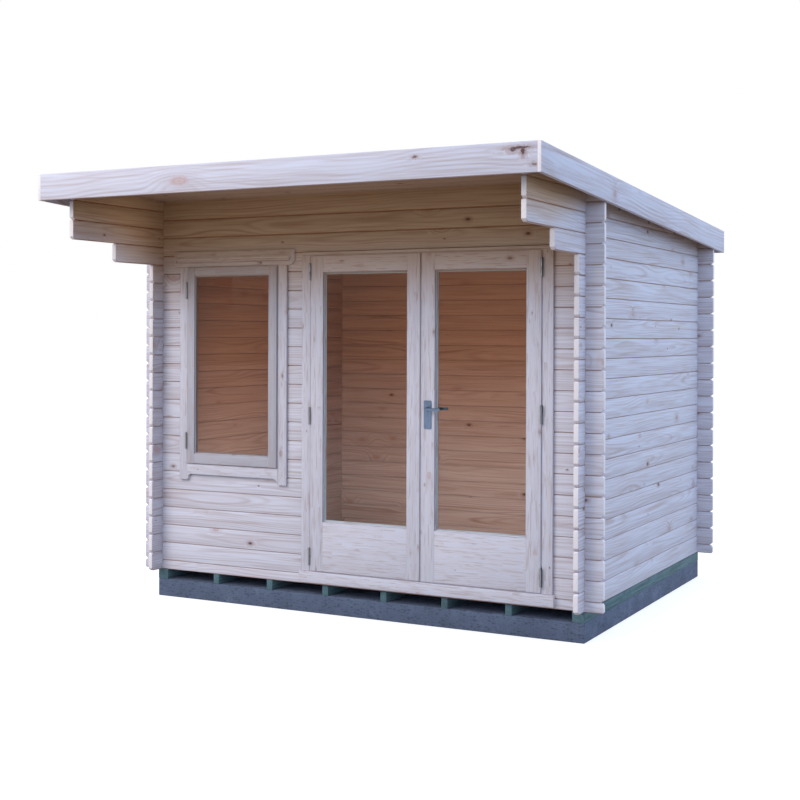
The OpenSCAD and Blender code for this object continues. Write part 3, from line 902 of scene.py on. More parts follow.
    def shade(self, t: Tree, place: Sequence[Wire], between: Wire, end: Wire) -> Node:
        """Finds where the roof's painted shade goes: deep in the canopy, a strip elsewhere.

        Args:
            t: The material's tree.
            place: The place along X, Y and Z.
            between: 1 between the side walls.
            end: 1 on sawn ends, which stay pale on the logs.

        Returns:
            1 right under the roof, falling to 0 where daylight reaches the wood.
        """
        eaves, canopy = self.eaves_shade_reach, self.canopy_shade_reach
        forward = node(t, "MapRange", place[1], self.canopy_back, self.canopy_front)
        outer = node(t, "Mix", forward, eaves, 0.5 * canopy)
        inner = node(t, "Mix", forward, canopy, 0.6 * canopy)
        front = node(t, "Math.LESS_THAN", place[1], 0.0)
        front = node(t, "Math.MULTIPLY", between, front)
        reach = node(t, "Mix", front, outer, inner)
        full = node(t, "Math.MULTIPLY", reach, 0.22)
        gone = node(t, "Math.MULTIPLY", reach, 0.88)
        drop = node(t, "Math.MULTIPLY_ADD", place[1], ROOF.fall, place[2])
        under = node(t, "Math.SUBTRACT", ROOF.level, drop)
        shade = node(t, "MapRange.SMOOTHSTEP", under, full, gone, 1.0, 0.0)
        if not self.pale_ends:
            return shade
        face = node(t, "Math.SUBTRACT", 1.0, end)
        return node(t, "Math.MULTIPLY", shade, face)


@dataclass(frozen=True)
class TreatedTimber(Finish):
    """Pressure-treated sawn softwood: blue-green salts, streaked along the fibres."""

    deep: str = "#3b555d"
    light: str = "#5f7d87"
    stain: str = "#34494d"

    def surface(self, t: Tree) -> Node:
        """Adds the treated timber's nodes to a tree.

        Args:
            t: The material's tree.

        Returns:
            The shader.
        """
        board = node(t, "Attribute.board").outputs["Vector"]
        fibre = node(t, "VectorMath.MULTIPLY", board, (4, 160, 160))
        fibre = node(t, "TexNoise", fibre, 1.0, 3.0)
        colour = node(t, "ValToRGB", fibre, ramp=((0.3, self.deep), (0.7, self.light)))
        blotch = node(t, "TexNoise", board, 14.0, 3.0)
        blotch = node(t, "MapRange", blotch, 0.5, 0.75, 0.0, 0.6)
        colour = node(t, "Mix.RGBA", blotch, colour, self.stain)
        bump = node(t, "Bump", {"Strength": 0.5, "Distance": 0.6 * MM, "Height": fibre})
        faces = {"Base Color": colour, "Roughness": 0.8, "Normal": bump}
        return node(t, "BsdfPrincipled", faces)


@dataclass(frozen=True)
class CastConcrete(Finish):
    """Cast concrete from a rough shutter: fine sand, dark pits 5 to 20 mm long, damp patches."""

    damp: str = "#414b61"
    grey: str = "#515c74"
    light: str = "#6c7890"
    dark: str = "#2a3140"

    def surface(self, t: Tree) -> Node:
        """Adds the concrete's nodes to a tree.

        Args:
            t: The material's tree.

        Returns:
            The shader.
        """
        place = node(t, "TexCoord").outputs["Object"]
        sand = node(t, "TexNoise", place, 220.0, 4.0, 0.7)
        cloud = node(t, "TexNoise", place, 6.0, 5.0, 0.6)
        flat = node(t, "VectorMath.MULTIPLY", place, (45, 45, 130))
        noise = node(t, "TexNoise", flat, 1.6, 2.0).outputs["Color"]
        flat = node(t, "VectorMath.MULTIPLY_ADD", noise, (1.1, 1.1, 1.1), flat)
        pits = node(t, "TexVoronoi", flat, 1.0)
        chance = node(t, "SeparateColor", pits.outputs["Color"]).outputs[0]
        reach = node(t, "MapRange", chance, 0.1, 1.0, 0.0, 0.62)
        edge = node(t, "Math.SUBTRACT", reach, pits)
        pit = node(t, "MapRange.SMOOTHSTEP", edge, 0.0, 0.16)
        shades = ((0.25, self.damp), (0.55, self.grey), (0.75, self.light))
        colour = node(t, "ValToRGB", cloud, ramp=shades)
        grain = node(t, "MapRange", sand, 0.35, 0.65, 0.0, 0.5)
        colour = node(t, "Mix.RGBA", grain, colour, self.light)
        hollow = node(t, "Math.MULTIPLY", pit, 0.5)
        colour = node(t, "Mix.RGBA", hollow, colour, self.dark)
        height = node(t, "Math.SUBTRACT", sand, pit)
        bump = node(t, "Bump", {"Strength": 0.6, "Distance": 2 * MM, "Height": height})
        faces = {"Base Color": colour, "Roughness": 0.9, "Normal": bump}
        return node(t, "BsdfPrincipled", faces)


@dataclass(frozen=True)
class MineralFelt(Finish):
    """Bitumen roofing felt, faced with slate granules of about 1 mm, here drawn at 3 mm."""

    slate: str = "#3d4446"
    chip: str = "#6b7476"

    def surface(self, t: Tree) -> Node:
        """Adds the felt's nodes to a tree.

        Args:
            t: The material's tree.

        Returns:
            The shader.
        """
        place = node(t, "TexCoord").outputs["Object"]
        granules = node(t, "TexVoronoi", place, 330.0)
        chance = node(t, "SeparateColor", granules.outputs["Color"]).outputs[0]
        colour = node(t, "ValToRGB", chance, ramp=((0.2, self.slate), (1.0, self.chip)))
        worn = node(t, "TexNoise", place, 3.0, 4.0)
        worn = node(t, "MapRange", worn, 0.4, 0.7, 0.0, 0.45)
        colour = node(t, "Mix.RGBA", worn, colour, self.slate)
        bump = node(t, "Bump", {"Strength": 0.7, "Distance": 1 * MM, "Height": granules})
        faces = {"Base Color": colour, "Roughness": 0.92, "Normal": bump}
        return node(t, "BsdfPrincipled", faces)


@dataclass(frozen=True)
class FloatGlass(Finish):
    """Clear float glass, 4 mm thick: it lets the daylight in, and mirrors only a little.

    Plain float glass has an IOR of 1.52. Both of its faces are drawn with a lower one, as
    with a coated pane, so that the timber behind it keeps its colour.
    """

    tint: str = "#f4faf8"
    ior: float = 1.2

    def surface(self, t: Tree) -> Node:
        """Adds the glass's nodes to a tree.

        Args:
            t: The material's tree.

        Returns:
            The shader.
        """
        glass = {"Base Color": self.tint, "Roughness": 0.0, "IOR": self.ior}
        pane = node(t, "BsdfPrincipled", {**glass, "Transmission Weight": 1.0})
        clear = node(t, "BsdfTransparent", self.tint)
        path = node(t, "LightPath").outputs
        shadow, diffuse = path["Is Shadow Ray"], path["Is Diffuse Ray"]
        lamp = node(t, "Math.MAXIMUM", shadow, diffuse)
        return node(t, "MixShader", lamp, pane, clear)


@dataclass(frozen=True)
class SatinSteel(Finish):
    """Plated steel with a satin face: a cool grey with fine brush lines along its height."""

    metal: str = "#75859b"
    brushed: str = "#58677c"

    def surface(self, t: Tree) -> Node:
        """Adds the steel's nodes to a tree.

        Args:
            t: The material's tree.

        Returns:
            The shader.
        """
        place = node(t, "TexCoord").outputs["Object"]
        lines = node(t, "VectorMath.MULTIPLY", place, (900, 900, 40))
        lines = node(t, "TexNoise", lines, 1.0, 2.0)
        colour = node(t, "ValToRGB", lines, ramp=((0.3, self.brushed), (0.7, self.metal)))
        rough = node(t, "MapRange", lines, 0.0, 1.0, 0.35, 0.55)
        faces = {"Base Color": colour, "Metallic": 1.0, "Roughness": rough}
        return node(t, "BsdfPrincipled", faces)


LOGS = PlanedSpruce("planed spruce logs", Slot.LOGS)
FASCIA = PlanedSpruce(
    "planed spruce fascia",
    Slot.FASCIA,
    pale="#cccfe0",
    blush="#c4c3d1",
    ring=22 * MM,
    ring_contrast=0.62,
    sway=0.09,
    ripple=0.35,
    knot_spacing=0.3,
    knotless=0.93,
    eaves_shade_reach=0.0,
    features=(
        FeatureKnot(1.452, None, 2.566, 0.05, 0.006, 1.0),
        FeatureKnot(1.468, None, 2.547, 0.010, 0.014, 1.0),
        FeatureKnot(1.415, None, 2.560, 0.016, 0.009, 0.95),
        FeatureKnot(1.525, None, 2.483, 0.013, 0.006, 0.6),
        FeatureKnot(0.892, None, 2.554, 0.011, 0.005, 0.8),
        FeatureKnot(-0.552, None, 2.507, 0.06, 0.024, 0.0),
        FeatureKnot(None, -0.658, 2.444, 0.026, 0.022, 0.1),
    ),
)
JOINERY = PlanedSpruce(
    "finger-jointed spruce joinery",
    Slot.JOINERY,
    pale="#cdcfde",
    ring=7 * MM,
    ring_contrast=0.35,
    sway=0.03,
    knot_spacing=0.1,
    knotless=0.72,
    laminated=True,
    inner_face=-0.7720,
)
# the leaves' inner faces take a paler indoor brown: less painted shade than the walls inside
DOORS = replace(
    JOINERY, name="finger-jointed spruce doors", indoor_high="#d6b7a1", indoor_low="#e8dad6"
)
# painted shade: the sash, its beads and seals are darker than the other joinery, for the window's
# shade
SASH = replace(
    JOINERY, name="finger-jointed spruce sash", pale="#b4b6c2", blush="#aca9b5", inner_face=-0.7835
)
# painted shade: the soffit's warm brown, and a dark end colour with shade kept on the purlin ends
BOARDS = PlanedSpruce(
    "planed spruce boards", Slot.BOARDS, canopy="#e6c4a0", end_pale="#8d8683", pale_ends=False
)
TREATED = TreatedTimber("pressure-treated timber", Slot.TREATED)
CONCRETE = CastConcrete("cast concrete", Slot.CONCRETE)
FELT = MineralFelt("mineral roofing felt", Slot.FELT)
GLASS = FloatGlass("clear float glass", Slot.GLASS)
STEEL = SatinSteel("satin nickel-plated steel", Slot.STEEL)
ZINC = SatinSteel("zinc-plated steel", Slot.STEEL, metal="#909294", brushed="#747678")


# ---------------------------------------------------------------- sub-assemblies


def loose_boxes(node_name: str) -> list[Box]:
    """Finds the corners of each loose part of a CAD node.

    Args:
        node_name: The CAD node.

    Returns:
        Each part's lowest and highest corner, from the lowest part up.
    """
    mesh = frame["nodes"][node_name].data
    points = [tuple(round(c, 5) for c in vertex.co) for vertex in mesh.vertices]
    place = {point: number for number, point in enumerate(dict.fromkeys(points))}
    same = np.array([place[point] for point in points])
    edges = np.array([[same[v] for v in edge.vertices] for edge in mesh.edges])
    label = islands(len(place), edges)[same]
    found = np.array(points)
    boxes = [(found[label == i].min(0), found[label == i].max(0)) for i in np.unique(label)]
    boxes.sort(key=lambda box: (round(box[0][2], 4), round(box[0][0], 4)))
    return [(Vector(low), Vector(high)) for low, high in boxes]


def leaning(y: float, above: float) -> Matrix:
    """Finds the move that lays a level piece on the roof's slope.

    Args:
        y: Where the piece's own Y = 0 goes.
        above: How far the piece's own Z = 0 goes above the underside of the roof boards.

    Returns:
        The move.
    """
    return Matrix.Translation((0, y, ROOF.under(y) + above)) @ Matrix.Rotation(-ROOF.slope, 4, "X")


@dataclass
class TimberNodes:
    """CAD nodes of timber whose shape is right: each gets rounded edges and its grain."""

    nodes: tuple[str, ...]
    finish: Finish
    seed: int
    edge: float = 1.5 * MM
    body: Body = Body.CABIN
    fall: float = 0.0
    aside: tuple[float, float] = (0.0, 0.07)

    def build(self) -> None:
        """Builds one piece for each node."""
        for number, name in enumerate(self.nodes):
            piece = soften(copy_node(name, "timber"), self.edge)
            mark_boards(piece, self.seed + number, fall=self.fall, aside=self.aside)
            dress(piece, self.finish, [name], self.body)


@dataclass
class WallTongues:
    """The tongues that close the joint between each log and the next one up."""

    walls: tuple[tuple[int, tuple[str, ...]], ...]
    thickness: float = 8 * MM
    height: float = 8 * MM
    inset: float = 1 * MM
    joint: float = 1 * MM
    seed: int = 130

    def build(self) -> None:
        """Builds the tongues of all the walls, from corner to corner and up to the openings."""
        room_low = Vector((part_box("left_wall")[1].x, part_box("front_foot_log")[1].y))
        room_high = Vector((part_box("right_wall")[0].x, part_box("back_wall")[0].y))
        half = Vector((self.thickness, self.thickness, self.height)) / 2
        strips = []
        for run, names in self.walls:
            logs = [box for name in names for box in loose_boxes(name)]
            for lower, upper in itertools.permutations(logs, 2):
                begin = max(lower[0][run], upper[0][run], room_low[run]) + self.inset
                end = min(lower[1][run], upper[1][run], room_high[run]) - self.inset
                if end <= begin or not 0 <= upper[0].z - lower[1].z < self.joint:
                    continue
                low = (lower[0] + lower[1]) / 2 - half
                high = low + 2 * half
                low.z = (lower[1].z + upper[0].z) / 2 - half.z
                high.z = low.z + 2 * half.z
                low[run], high[run] = begin, end
                strips.append(add_block(f"tongue_{len(strips)}", low, high))
        piece = soften(join("wall_tongues", strips), self.inset, 1)
        mark_boards(piece, self.seed)
        dress(piece, LOGS)


@dataclass
class Boarding:
    """Planed boards laid side by side along X, with a small V along each joint."""

    node_name: str
    cover: float
    seed: int
    sloping: bool = False
    vee: float = 2 * MM
    gap: float = 0.5 * MM

    def build(self) -> None:
        """Builds the boards as one piece, with the joints' V on the side that shows."""
        low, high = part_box(self.node_name)
        thickness = BOARD_THICKNESS if self.sloping else high.z - low.z
        slope = ROOF.slope if self.sloping else 0.0
        length = (high.y - low.y - thickness * math.sin(slope)) / math.cos(slope)
        count = round(length / self.cover)
        cover = length / count
        first = add_block("board", (low.x, 0, 0), (high.x, cover - self.gap, thickness))
        shown = 0.0 if self.sloping else thickness
        with editing(first, "EDGE"):
            pick(first, lambda m, d: abs(d.x) > ALONG and abs(m.z - shown) < NEAR)
            bpy.ops.mesh.bevel(offset=self.vee, segments=1)
        soften(first, self.gap, 1)
        foot = leaning(low.y, 0) if self.sloping else Matrix.Translation((0, low.y, low.z))
        boards = []
        for number in range(count):
            move = foot @ Matrix.Translation((0, number * cover, 0))
            boards.append(copy_at(first, f"board_{number}", move))
        bpy.data.objects.remove(first)
        piece = join(f"{self.node_name}_laid", boards)
        mark_boards(piece, self.seed, Grain.X, ROOF.fall if self.sloping else 0.0)
        dress(piece, BOARDS, [self.node_name])


@dataclass
class FeltCovering:
    """Strips of mineral felt across the roof, each lapped under the next one up."""

    strips: int = 4
    thickness: float = 1.3 * MM
    lap: float = 75 * MM
    joggle: float = 10 * MM
    clearance: float = 0.05 * MM
    round_off: float = 0.4 * MM
    short_of_eaves: float = 2 * MM
    nail_margin: float = 50 * MM
    nail_spacing: float = 0.15
    nail_from_edge: float = 15 * MM
    nail_head: float = 4.5 * MM
    nail_height: float = 0.8 * MM
    nail_round_off: float = 0.3 * MM

    def build(self) -> None:
        """Builds the strips and the clout nails along their laps."""
        low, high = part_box("roof_felt")
        width = high.x - low.x
        run = (high.y - low.y - self.short_of_eaves) / self.strips
        across = int((width - 2 * self.nail_margin) / self.nail_spacing)
        head = add_rod("nail", (0, 0, 0), self.nail_head, self.nail_height, sides=12)
        soften(head, self.nail_round_off, 1)
        laid, nails = [], []
        for number in range(self.strips):
            strip = self.strip(run, width, number == 0)
            foot = leaning(low.y + number * run, BOARD_THICKNESS + 2 * self.clearance)
            laid.append(copy_at(strip, f"felt_strip_{number}", foot))
            bpy.data.objects.remove(strip)
            for step in range(across + 1 if number else 0):
                side = (step - across / 2) * self.nail_spacing
                place = (side, self.nail_from_edge - self.lap, 2 * self.thickness)
                move = foot @ Matrix.Translation(place)
                nails.append(copy_at(head, f"nail_{number}_{step}", move))
        bpy.data.objects.remove(head)
        dress(join("felt_strips", laid), FELT, ["roof_felt"])
        dress(join("felt_nails", nails), ZINC)

    def strip(self, run: float, width: float, first: bool) -> Piece:
        """Models one level strip, whose near edge steps up onto the strip before it.

        Args:
            run: How much of the roof's length it covers.
            width: Its width across the roof.
            first: Whether it is the first one, which laps over nothing.

        Returns:
            The strip.
        """
        start = 0.0 if first else -self.lap
        strip = add_block("felt_strip", (-width / 2, start, 0), (width / 2, run, self.thickness))
        if not first:
            with editing(strip, "VERT"):
                for y in (0.0, self.joggle):
                    bpy.ops.mesh.select_all(action="SELECT")
                    bpy.ops.mesh.bisect(plane_co=(0, y, 0), plane_no=(0, 1, 0))
                pick(strip, lambda place, _: place.y < NEAR)
                bpy.ops.transform.translate(value=(0, 0, self.thickness + self.clearance))
        return soften(strip, self.round_off, 1)


@dataclass
class WindowHeadBoard:
    """The board over the window, with a stopped groove along its face."""

    groove_up: float = 24 * MM
    groove_height: float = 17 * MM
    groove_depth: float = 6 * MM
    left_stop: float = 6 * MM
    right_stop: float = 20 * MM
    edge: float = 1 * MM
    seed: int = 230

    def build(self) -> None:
        """Copies the board and sinks its groove."""
        low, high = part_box("window_head_board")
        board = copy_node("window_head_board", "timber")
        foot = low.z + self.groove_up
        top = foot + self.groove_height
        left = low.x + self.left_stop
        right = high.x - self.right_stop

        def in_groove(m: Vector, n: Vector) -> bool:
            """Tells whether a face is the one that the groove is sunk into."""
            shown = n.y < -ALONG and m.y < low.y + NEAR
            return shown and foot < m.z < top and left < m.x < right

        with editing(board):
            for place, across in (
                ((0, 0, foot), (0, 0, 1)),
                ((0, 0, top), (0, 0, 1)),
                ((left, 0, 0), (1, 0, 0)),
                ((right, 0, 0), (1, 0, 0)),
            ):
                bpy.ops.mesh.select_all(action="SELECT")
                bpy.ops.mesh.bisect(plane_co=place, plane_no=across)
            pick(board, in_groove)
            sink = {"value": (0, self.groove_depth, 0)}
            bpy.ops.mesh.extrude_region_move(TRANSFORM_OT_translate=sink)
            bpy.ops.mesh.select_all(action="SELECT")
            bpy.ops.mesh.normals_make_consistent(inside=False)
        soften(board, self.edge)
        mark_boards(board, self.seed)
        dress(board, JOINERY, ["window_head_board"])


@dataclass
class Seals:
    """Pale seals in the gaps round the sash and the door leaves, and between the leaves."""

    gap: float = 7 * MM
    clearance: float = 1 * MM
    hinge_clearance: float = 4 * MM
    same_hinge: float = 20 * MM
    set_back: float = 2.5 * MM
    meeting_width: float = 4.3 * MM
    meeting_set_back: float = 4 * MM
    meeting_back: float = 6 * MM
    sash_clearance: float = 0.3 * MM
    sash_back: float = 1 * MM
    edge: float = 1 * MM
    sash_edge: float = 0.4 * MM
    seed: int = 240

    def build(self) -> None:
        """Builds the seals, which stop short of each hinge."""
        self.round_doors()
        self.meeting()
        self.round_sash()

    def round_doors(self) -> None:
        """Builds the seals between the door frame and the leaves."""
        left_low, left_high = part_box("left_door_stiles")
        right_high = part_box("right_door_stiles")[1]
        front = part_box("door_casings")[0].y + self.set_back
        foot, top = left_low.z - self.gap, left_high.z + self.gap
        clear = self.clearance
        bars = [
            (left_low.x, foot, right_high.x, left_low.z - clear),
            (left_low.x, left_high.z + clear, right_high.x, top),
        ]
        for hinges, near, far in (
            ("left_hinge_pins", left_low.x - self.gap, left_low.x - clear),
            ("right_hinge_pins", right_high.x + clear, right_high.x + self.gap),
        ):
            for start, end in self.stretches(hinges, foot, top):
                bars.append((near, start, far, end))
        piece = self.strips("door_frame_seals", bars, front, left_high.y)
        mark_boards(soften(piece, self.edge), self.seed)
        dress(piece, JOINERY)

    def meeting(self) -> None:
        """Builds the seal on the left leaf's edge, where the leaves meet."""
        low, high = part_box("left_door_stiles")
        bar = (high.x, low.z, high.x + self.meeting_width, high.z)
        front, back = low.y + self.meeting_set_back, high.y - self.meeting_back
        piece = self.strips("door_meeting_seal", [bar], front, back)
        mark_boards(soften(piece, self.edge), self.seed + 1)
        dress(piece, DOORS, body=Body.LEFT_DOOR)

    def round_sash(self) -> None:
        """Builds the seals between the sash and the casings round it."""
        low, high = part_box("window_sash")
        sill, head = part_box("window_sill_board")[1].z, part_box("window_head_board")[0].z
        left, right = sorted(loose_boxes("window_casings"), key=lambda box: box[0].x)
        front, back = left[0].y + self.set_back, left[1].y - self.sash_back
        clear = self.sash_clearance
        bars = [
            (low.x, sill + clear, high.x, low.z - clear),
            (low.x, high.z + clear, high.x, head - clear),
            (high.x + clear, low.z, right[0].x - clear, high.z),
        ]
        for start, end in self.stretches("window_hinges", low.z, high.z):
            bars.append((left[1].x + clear, start, low.x - clear, end))
        piece = soften(self.strips("window_seals", bars, front, back), self.sash_edge, 1)
        mark_boards(piece, self.seed + 2)
        dress(piece, SASH)

    def strips(self, name: str, bars: Sequence[Point], front: float, back: float) -> Piece:
        """Models strips that lie between two depths.

        Args:
            name: The piece's name.
            bars: The lowest X and Z and the highest X and Z of each strip.
            front: Where the strips' outer face is along Y.
            back: Where their inner face is.

        Returns:
            The strips as one piece.
        """
        parts = []
        for number, (x0, z0, x1, z1) in enumerate(bars):
            parts.append(add_block(f"seal_{number}", (x0, front, z0), (x1, back, z1)))
        return join(name, parts)

    def stretches(self, hinges: str, foot: float, top: float) -> list[tuple[float, float]]:
        """Finds the stretches of a jamb that are free of its hinges.

        Args:
            hinges: The node of the hinges' pins.
            foot: The jamb's lowest height.
            top: Its highest height.

        Returns:
            The lower and upper end of each stretch.
        """
        found: list[tuple[float, float]] = []
        for low, high in loose_boxes(hinges):
            if found and low.z < found[-1][1] + self.same_hinge:
                found[-1] = (found[-1][0], max(found[-1][1], high.z))
            else:
                found.append((low.z, high.z))
        free = []
        for low_end, high_end in found:
            free.append((foot, low_end - self.hinge_clearance))
            foot = high_end + self.hinge_clearance
        return [*free, (foot, top)]


@dataclass
class GlazingBeads:
    """Planed beads that hold the panes: wide ones indoors and narrow ones outdoors."""

    width: float = 12 * MM
    round_off: float = 7 * MM
    outer_width: float = 5 * MM
    outer_round_off: float = 3.5 * MM
    hair: float = 0.2 * MM
    edge: float = 0.5 * MM
    seed: int = 250

    def build(self) -> None:
        """Builds one piece of eight beads for each pane, in both leaves and the window."""
        by_height = sorted(loose_boxes("window_sash"), key=lambda box: box[1].z - box[0].z)
        sash_rails = sorted(by_height[:2], key=lambda box: box[0].z)
        self.round_pane("left_door", loose_boxes("left_door_rails"), DOORS, Body.LEFT_DOOR)
        self.round_pane("right_door", loose_boxes("right_door_rails"), DOORS, Body.RIGHT_DOOR)
        self.round_pane("window", sash_rails, SASH, Body.CABIN)

    def round_pane(self, name: str, rails: list[Box], finish: Finish, body: Body) -> None:
        """Lays four beads on each side of one pane.

        Args:
            name: What the pane belongs to.
            rails: The corners of the rail below the pane and of the one above it.
            finish: The beads' finish.
            body: The body that the pane moves with.
        """
        lower, upper = rails
        pane_low, pane_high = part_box(f"{name}_glass")
        foot = Vector((lower[0].x, 0, lower[1].z))
        top = Vector((lower[1].x, 0, upper[0].z))
        inner = (pane_high.y + self.hair, self.width, self.round_off, 1)
        outer = (pane_low.y - self.hair, self.outer_width, self.outer_round_off, -1)
        parts = [*self.four(foot, top, *inner), *self.four(foot, top, *outer)]
        piece = soften(join(f"{name}_glazing_beads", parts), self.edge, 1)
        mark_boards(piece, self.seed + len(name))
        dress(piece, finish, body=body)

    def four(
        self, foot: Vector, top: Vector, near: float, width: float, round_off: float, way: int
    ) -> list[Piece]:
        """Models four beads round an opening, each with its far inner edge rounded.

        Args:
            foot: The opening's lowest corner.
            top: Its highest corner.
            near: The beads' face on the pane, along Y.
            width: How far they stand in from the opening's sides, and out from the pane.
            round_off: How far the rounding reaches.
            way: 1 where they stand out along Y, and -1 where they stand out against it.

        Returns:
            The four beads.
        """
        far = near + way * width
        low_y, high_y = min(near, far), max(near, far)
        left, right = foot.x + self.hair, top.x - self.hair
        bottom, head = foot.z + self.hair, top.z - self.hair
        start, stop = left + (width + self.hair), right - (width + self.hair)
        beads = []
        for number, (axis, inner, x0, z0, x1, z1) in enumerate((
            (0, left + width, left, bottom, left + width, head),
            (0, right - width, right - width, bottom, right, head),
            (2, bottom + width, start, bottom, stop, bottom + width),
            (2, head - width, start, head - width, stop, head),
        )):
            bead = add_block(f"bead_{number}", (x0, low_y, z0), (x1, high_y, z1))
            with editing(bead, "EDGE"):
                close = self.hair / 2
                pick(bead, lambda m, _: max(abs(m[axis] - inner), abs(m.y - far)) < close)
                bpy.ops.mesh.bevel(offset=round_off, segments=4)
            beads.append(bead)
        return beads


@dataclass
class LeverHandle:
    """The lever handle: two plates, and a flat lever with a round neck on each side."""

    bar_height: float = 15 * MM
    bar_depth: float = 10 * MM
    bar_corner: float = 4 * MM
    bar_edge: float = 2 * MM
    neck: float = 9 * MM
    neck_edge: float = 0.6 * MM
    neck_into_bar: float = 1 * MM
    clearance: float = 0.3 * MM
    plate_edge: float = 1.2 * MM
    spindle_edge: float = 0.5 * MM

    def build(self) -> None:
        """Builds the plates, the spindle and the two levers."""
        plates = soften(copy_node("handle_plates", "steel"), self.plate_edge, 3)
        dress(plates, STEEL, ["handle_plates"], Body.RIGHT_DOOR)
        spindle = soften(copy_node("handle_spindle", "steel"), self.spindle_edge, 1)
        dress(spindle, STEEL, ["handle_spindle"], Body.LEVER)
        low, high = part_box("handle_levers")
        axis_low, axis_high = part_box("handle_spindle")
        axis = (axis_low + axis_high) / 2
        plate_low, plate_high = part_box("handle_plates")
        ends = (low.x, high.x)
        outer = self.lever("outer", axis, ends, low.y, plate_low.y)
        inner = self.lever("inner", axis, ends, high.y, plate_high.y)
        levers = join("handle_levers_steel", [outer, inner])
        dress(levers, STEEL, ["handle_levers"], Body.LEVER)

    def lever(
        self, name: str, axis: Vector, ends: tuple[float, float], face: float, plate: float
    ) -> Piece:
        """Models one lever: a round neck, and a flat bar with rounded ends and edges.

        Args:
            name: The lever's name.
            axis: A point on the spindle's axis.
            ends: Where the bar begins and ends along X.
            face: Where the bar's outer face is along Y.
            plate: Where the plate's face is along Y.

        Returns:
            The lever.
        """
        out = -1 if face < plate else 1
        near = plate + out * self.clearance
        back = face - out * self.bar_depth
        bar = add_block(
            f"{name}_bar",
            (ends[0], min(face, back), axis.z - self.bar_height / 2),
            (ends[1], max(face, back), axis.z + self.bar_height / 2),
        )
        with editing(bar, "EDGE"):
            pick(bar, lambda m, d: abs(d.y) > ALONG)
            bpy.ops.mesh.bevel(offset=self.bar_corner, segments=3)
        soften(bar, self.bar_edge, 3)
        turn = (math.radians(90 if out < 0 else -90), 0, 0)
        length = abs(back - near) + self.neck_into_bar
        neck = add_rod(f"{name}_neck", (axis.x, near, axis.z), self.neck, length, turn)
        soften(neck, self.neck_edge)
        return join(f"{name}_lever", [bar, neck])


@dataclass
class Hinges:
    """The barrels, pins and plates of the hinges."""

    nodes: tuple[tuple[str, Body], ...] = (
        ("left_hinge_pins", Body.CABIN),
        ("left_hinge_sleeves", Body.LEFT_DOOR),
        ("right_hinge_pins", Body.CABIN),
        ("right_hinge_sleeves", Body.RIGHT_DOOR),
        ("window_hinges", Body.CABIN),
    )
    edge: float = 0.5 * MM

    def build(self) -> None:
        """Builds each node's part of the hinges with rounded edges."""
        for name, body in self.nodes:
            dress(soften(copy_node(name, "zinc"), self.edge), ZINC, [name], body)


@dataclass
class ConcreteBase:
    """The cast base, with arrises rounded by its shutter."""

    arris: float = 5 * MM

    def build(self) -> None:
        """Builds the base."""
        base = soften(copy_node("concrete_base", "cast"), self.arris, 3)
        dress(base, CONCRETE, ["concrete_base"])


@dataclass
class Panes:
    """The three panes, whose CAD shapes are right and only get their glass."""

    nodes: tuple[str, ...] = ("left_door_glass", "right_door_glass", "window_glass")

    def build(self) -> None:
        """Gives each pane its glass."""
        for name in self.nodes:
            mesh = frame["nodes"][name].data
            mesh.materials.clear()
            mesh.materials.append(GLASS.material())


@dataclass(frozen=True)
class Lamp:
    """A soft rectangular lamp, which lights the pieces and doesn't show itself."""

    name: str
    place: Point
    aim: Point
    size: Point
    watts: float
    colour: str
    spread: float = math.pi

    def hang(self) -> None:
        """Hangs the lamp at its place, turned to its aim."""
        data = bpy.data.lights.new(self.name, "AREA")
        data.spread = self.spread
        data.shape = "RECTANGLE"
        data.size, data.size_y = self.size
        data.energy = self.watts
        data.color = linear(self.colour)[:3]
        lamp = bpy.data.objects.new(self.name, data)
        bpy.context.scene.collection.objects.link(lamp)
        lamp.location = self.place
        ahead = Vector(self.aim) - Vector(self.place)
        lamp.rotation_euler = ahead.to_track_quat("-Z", "Y").to_euler()
        lamp.visible_camera = lamp.visible_glossy = lamp.visible_transmission = False


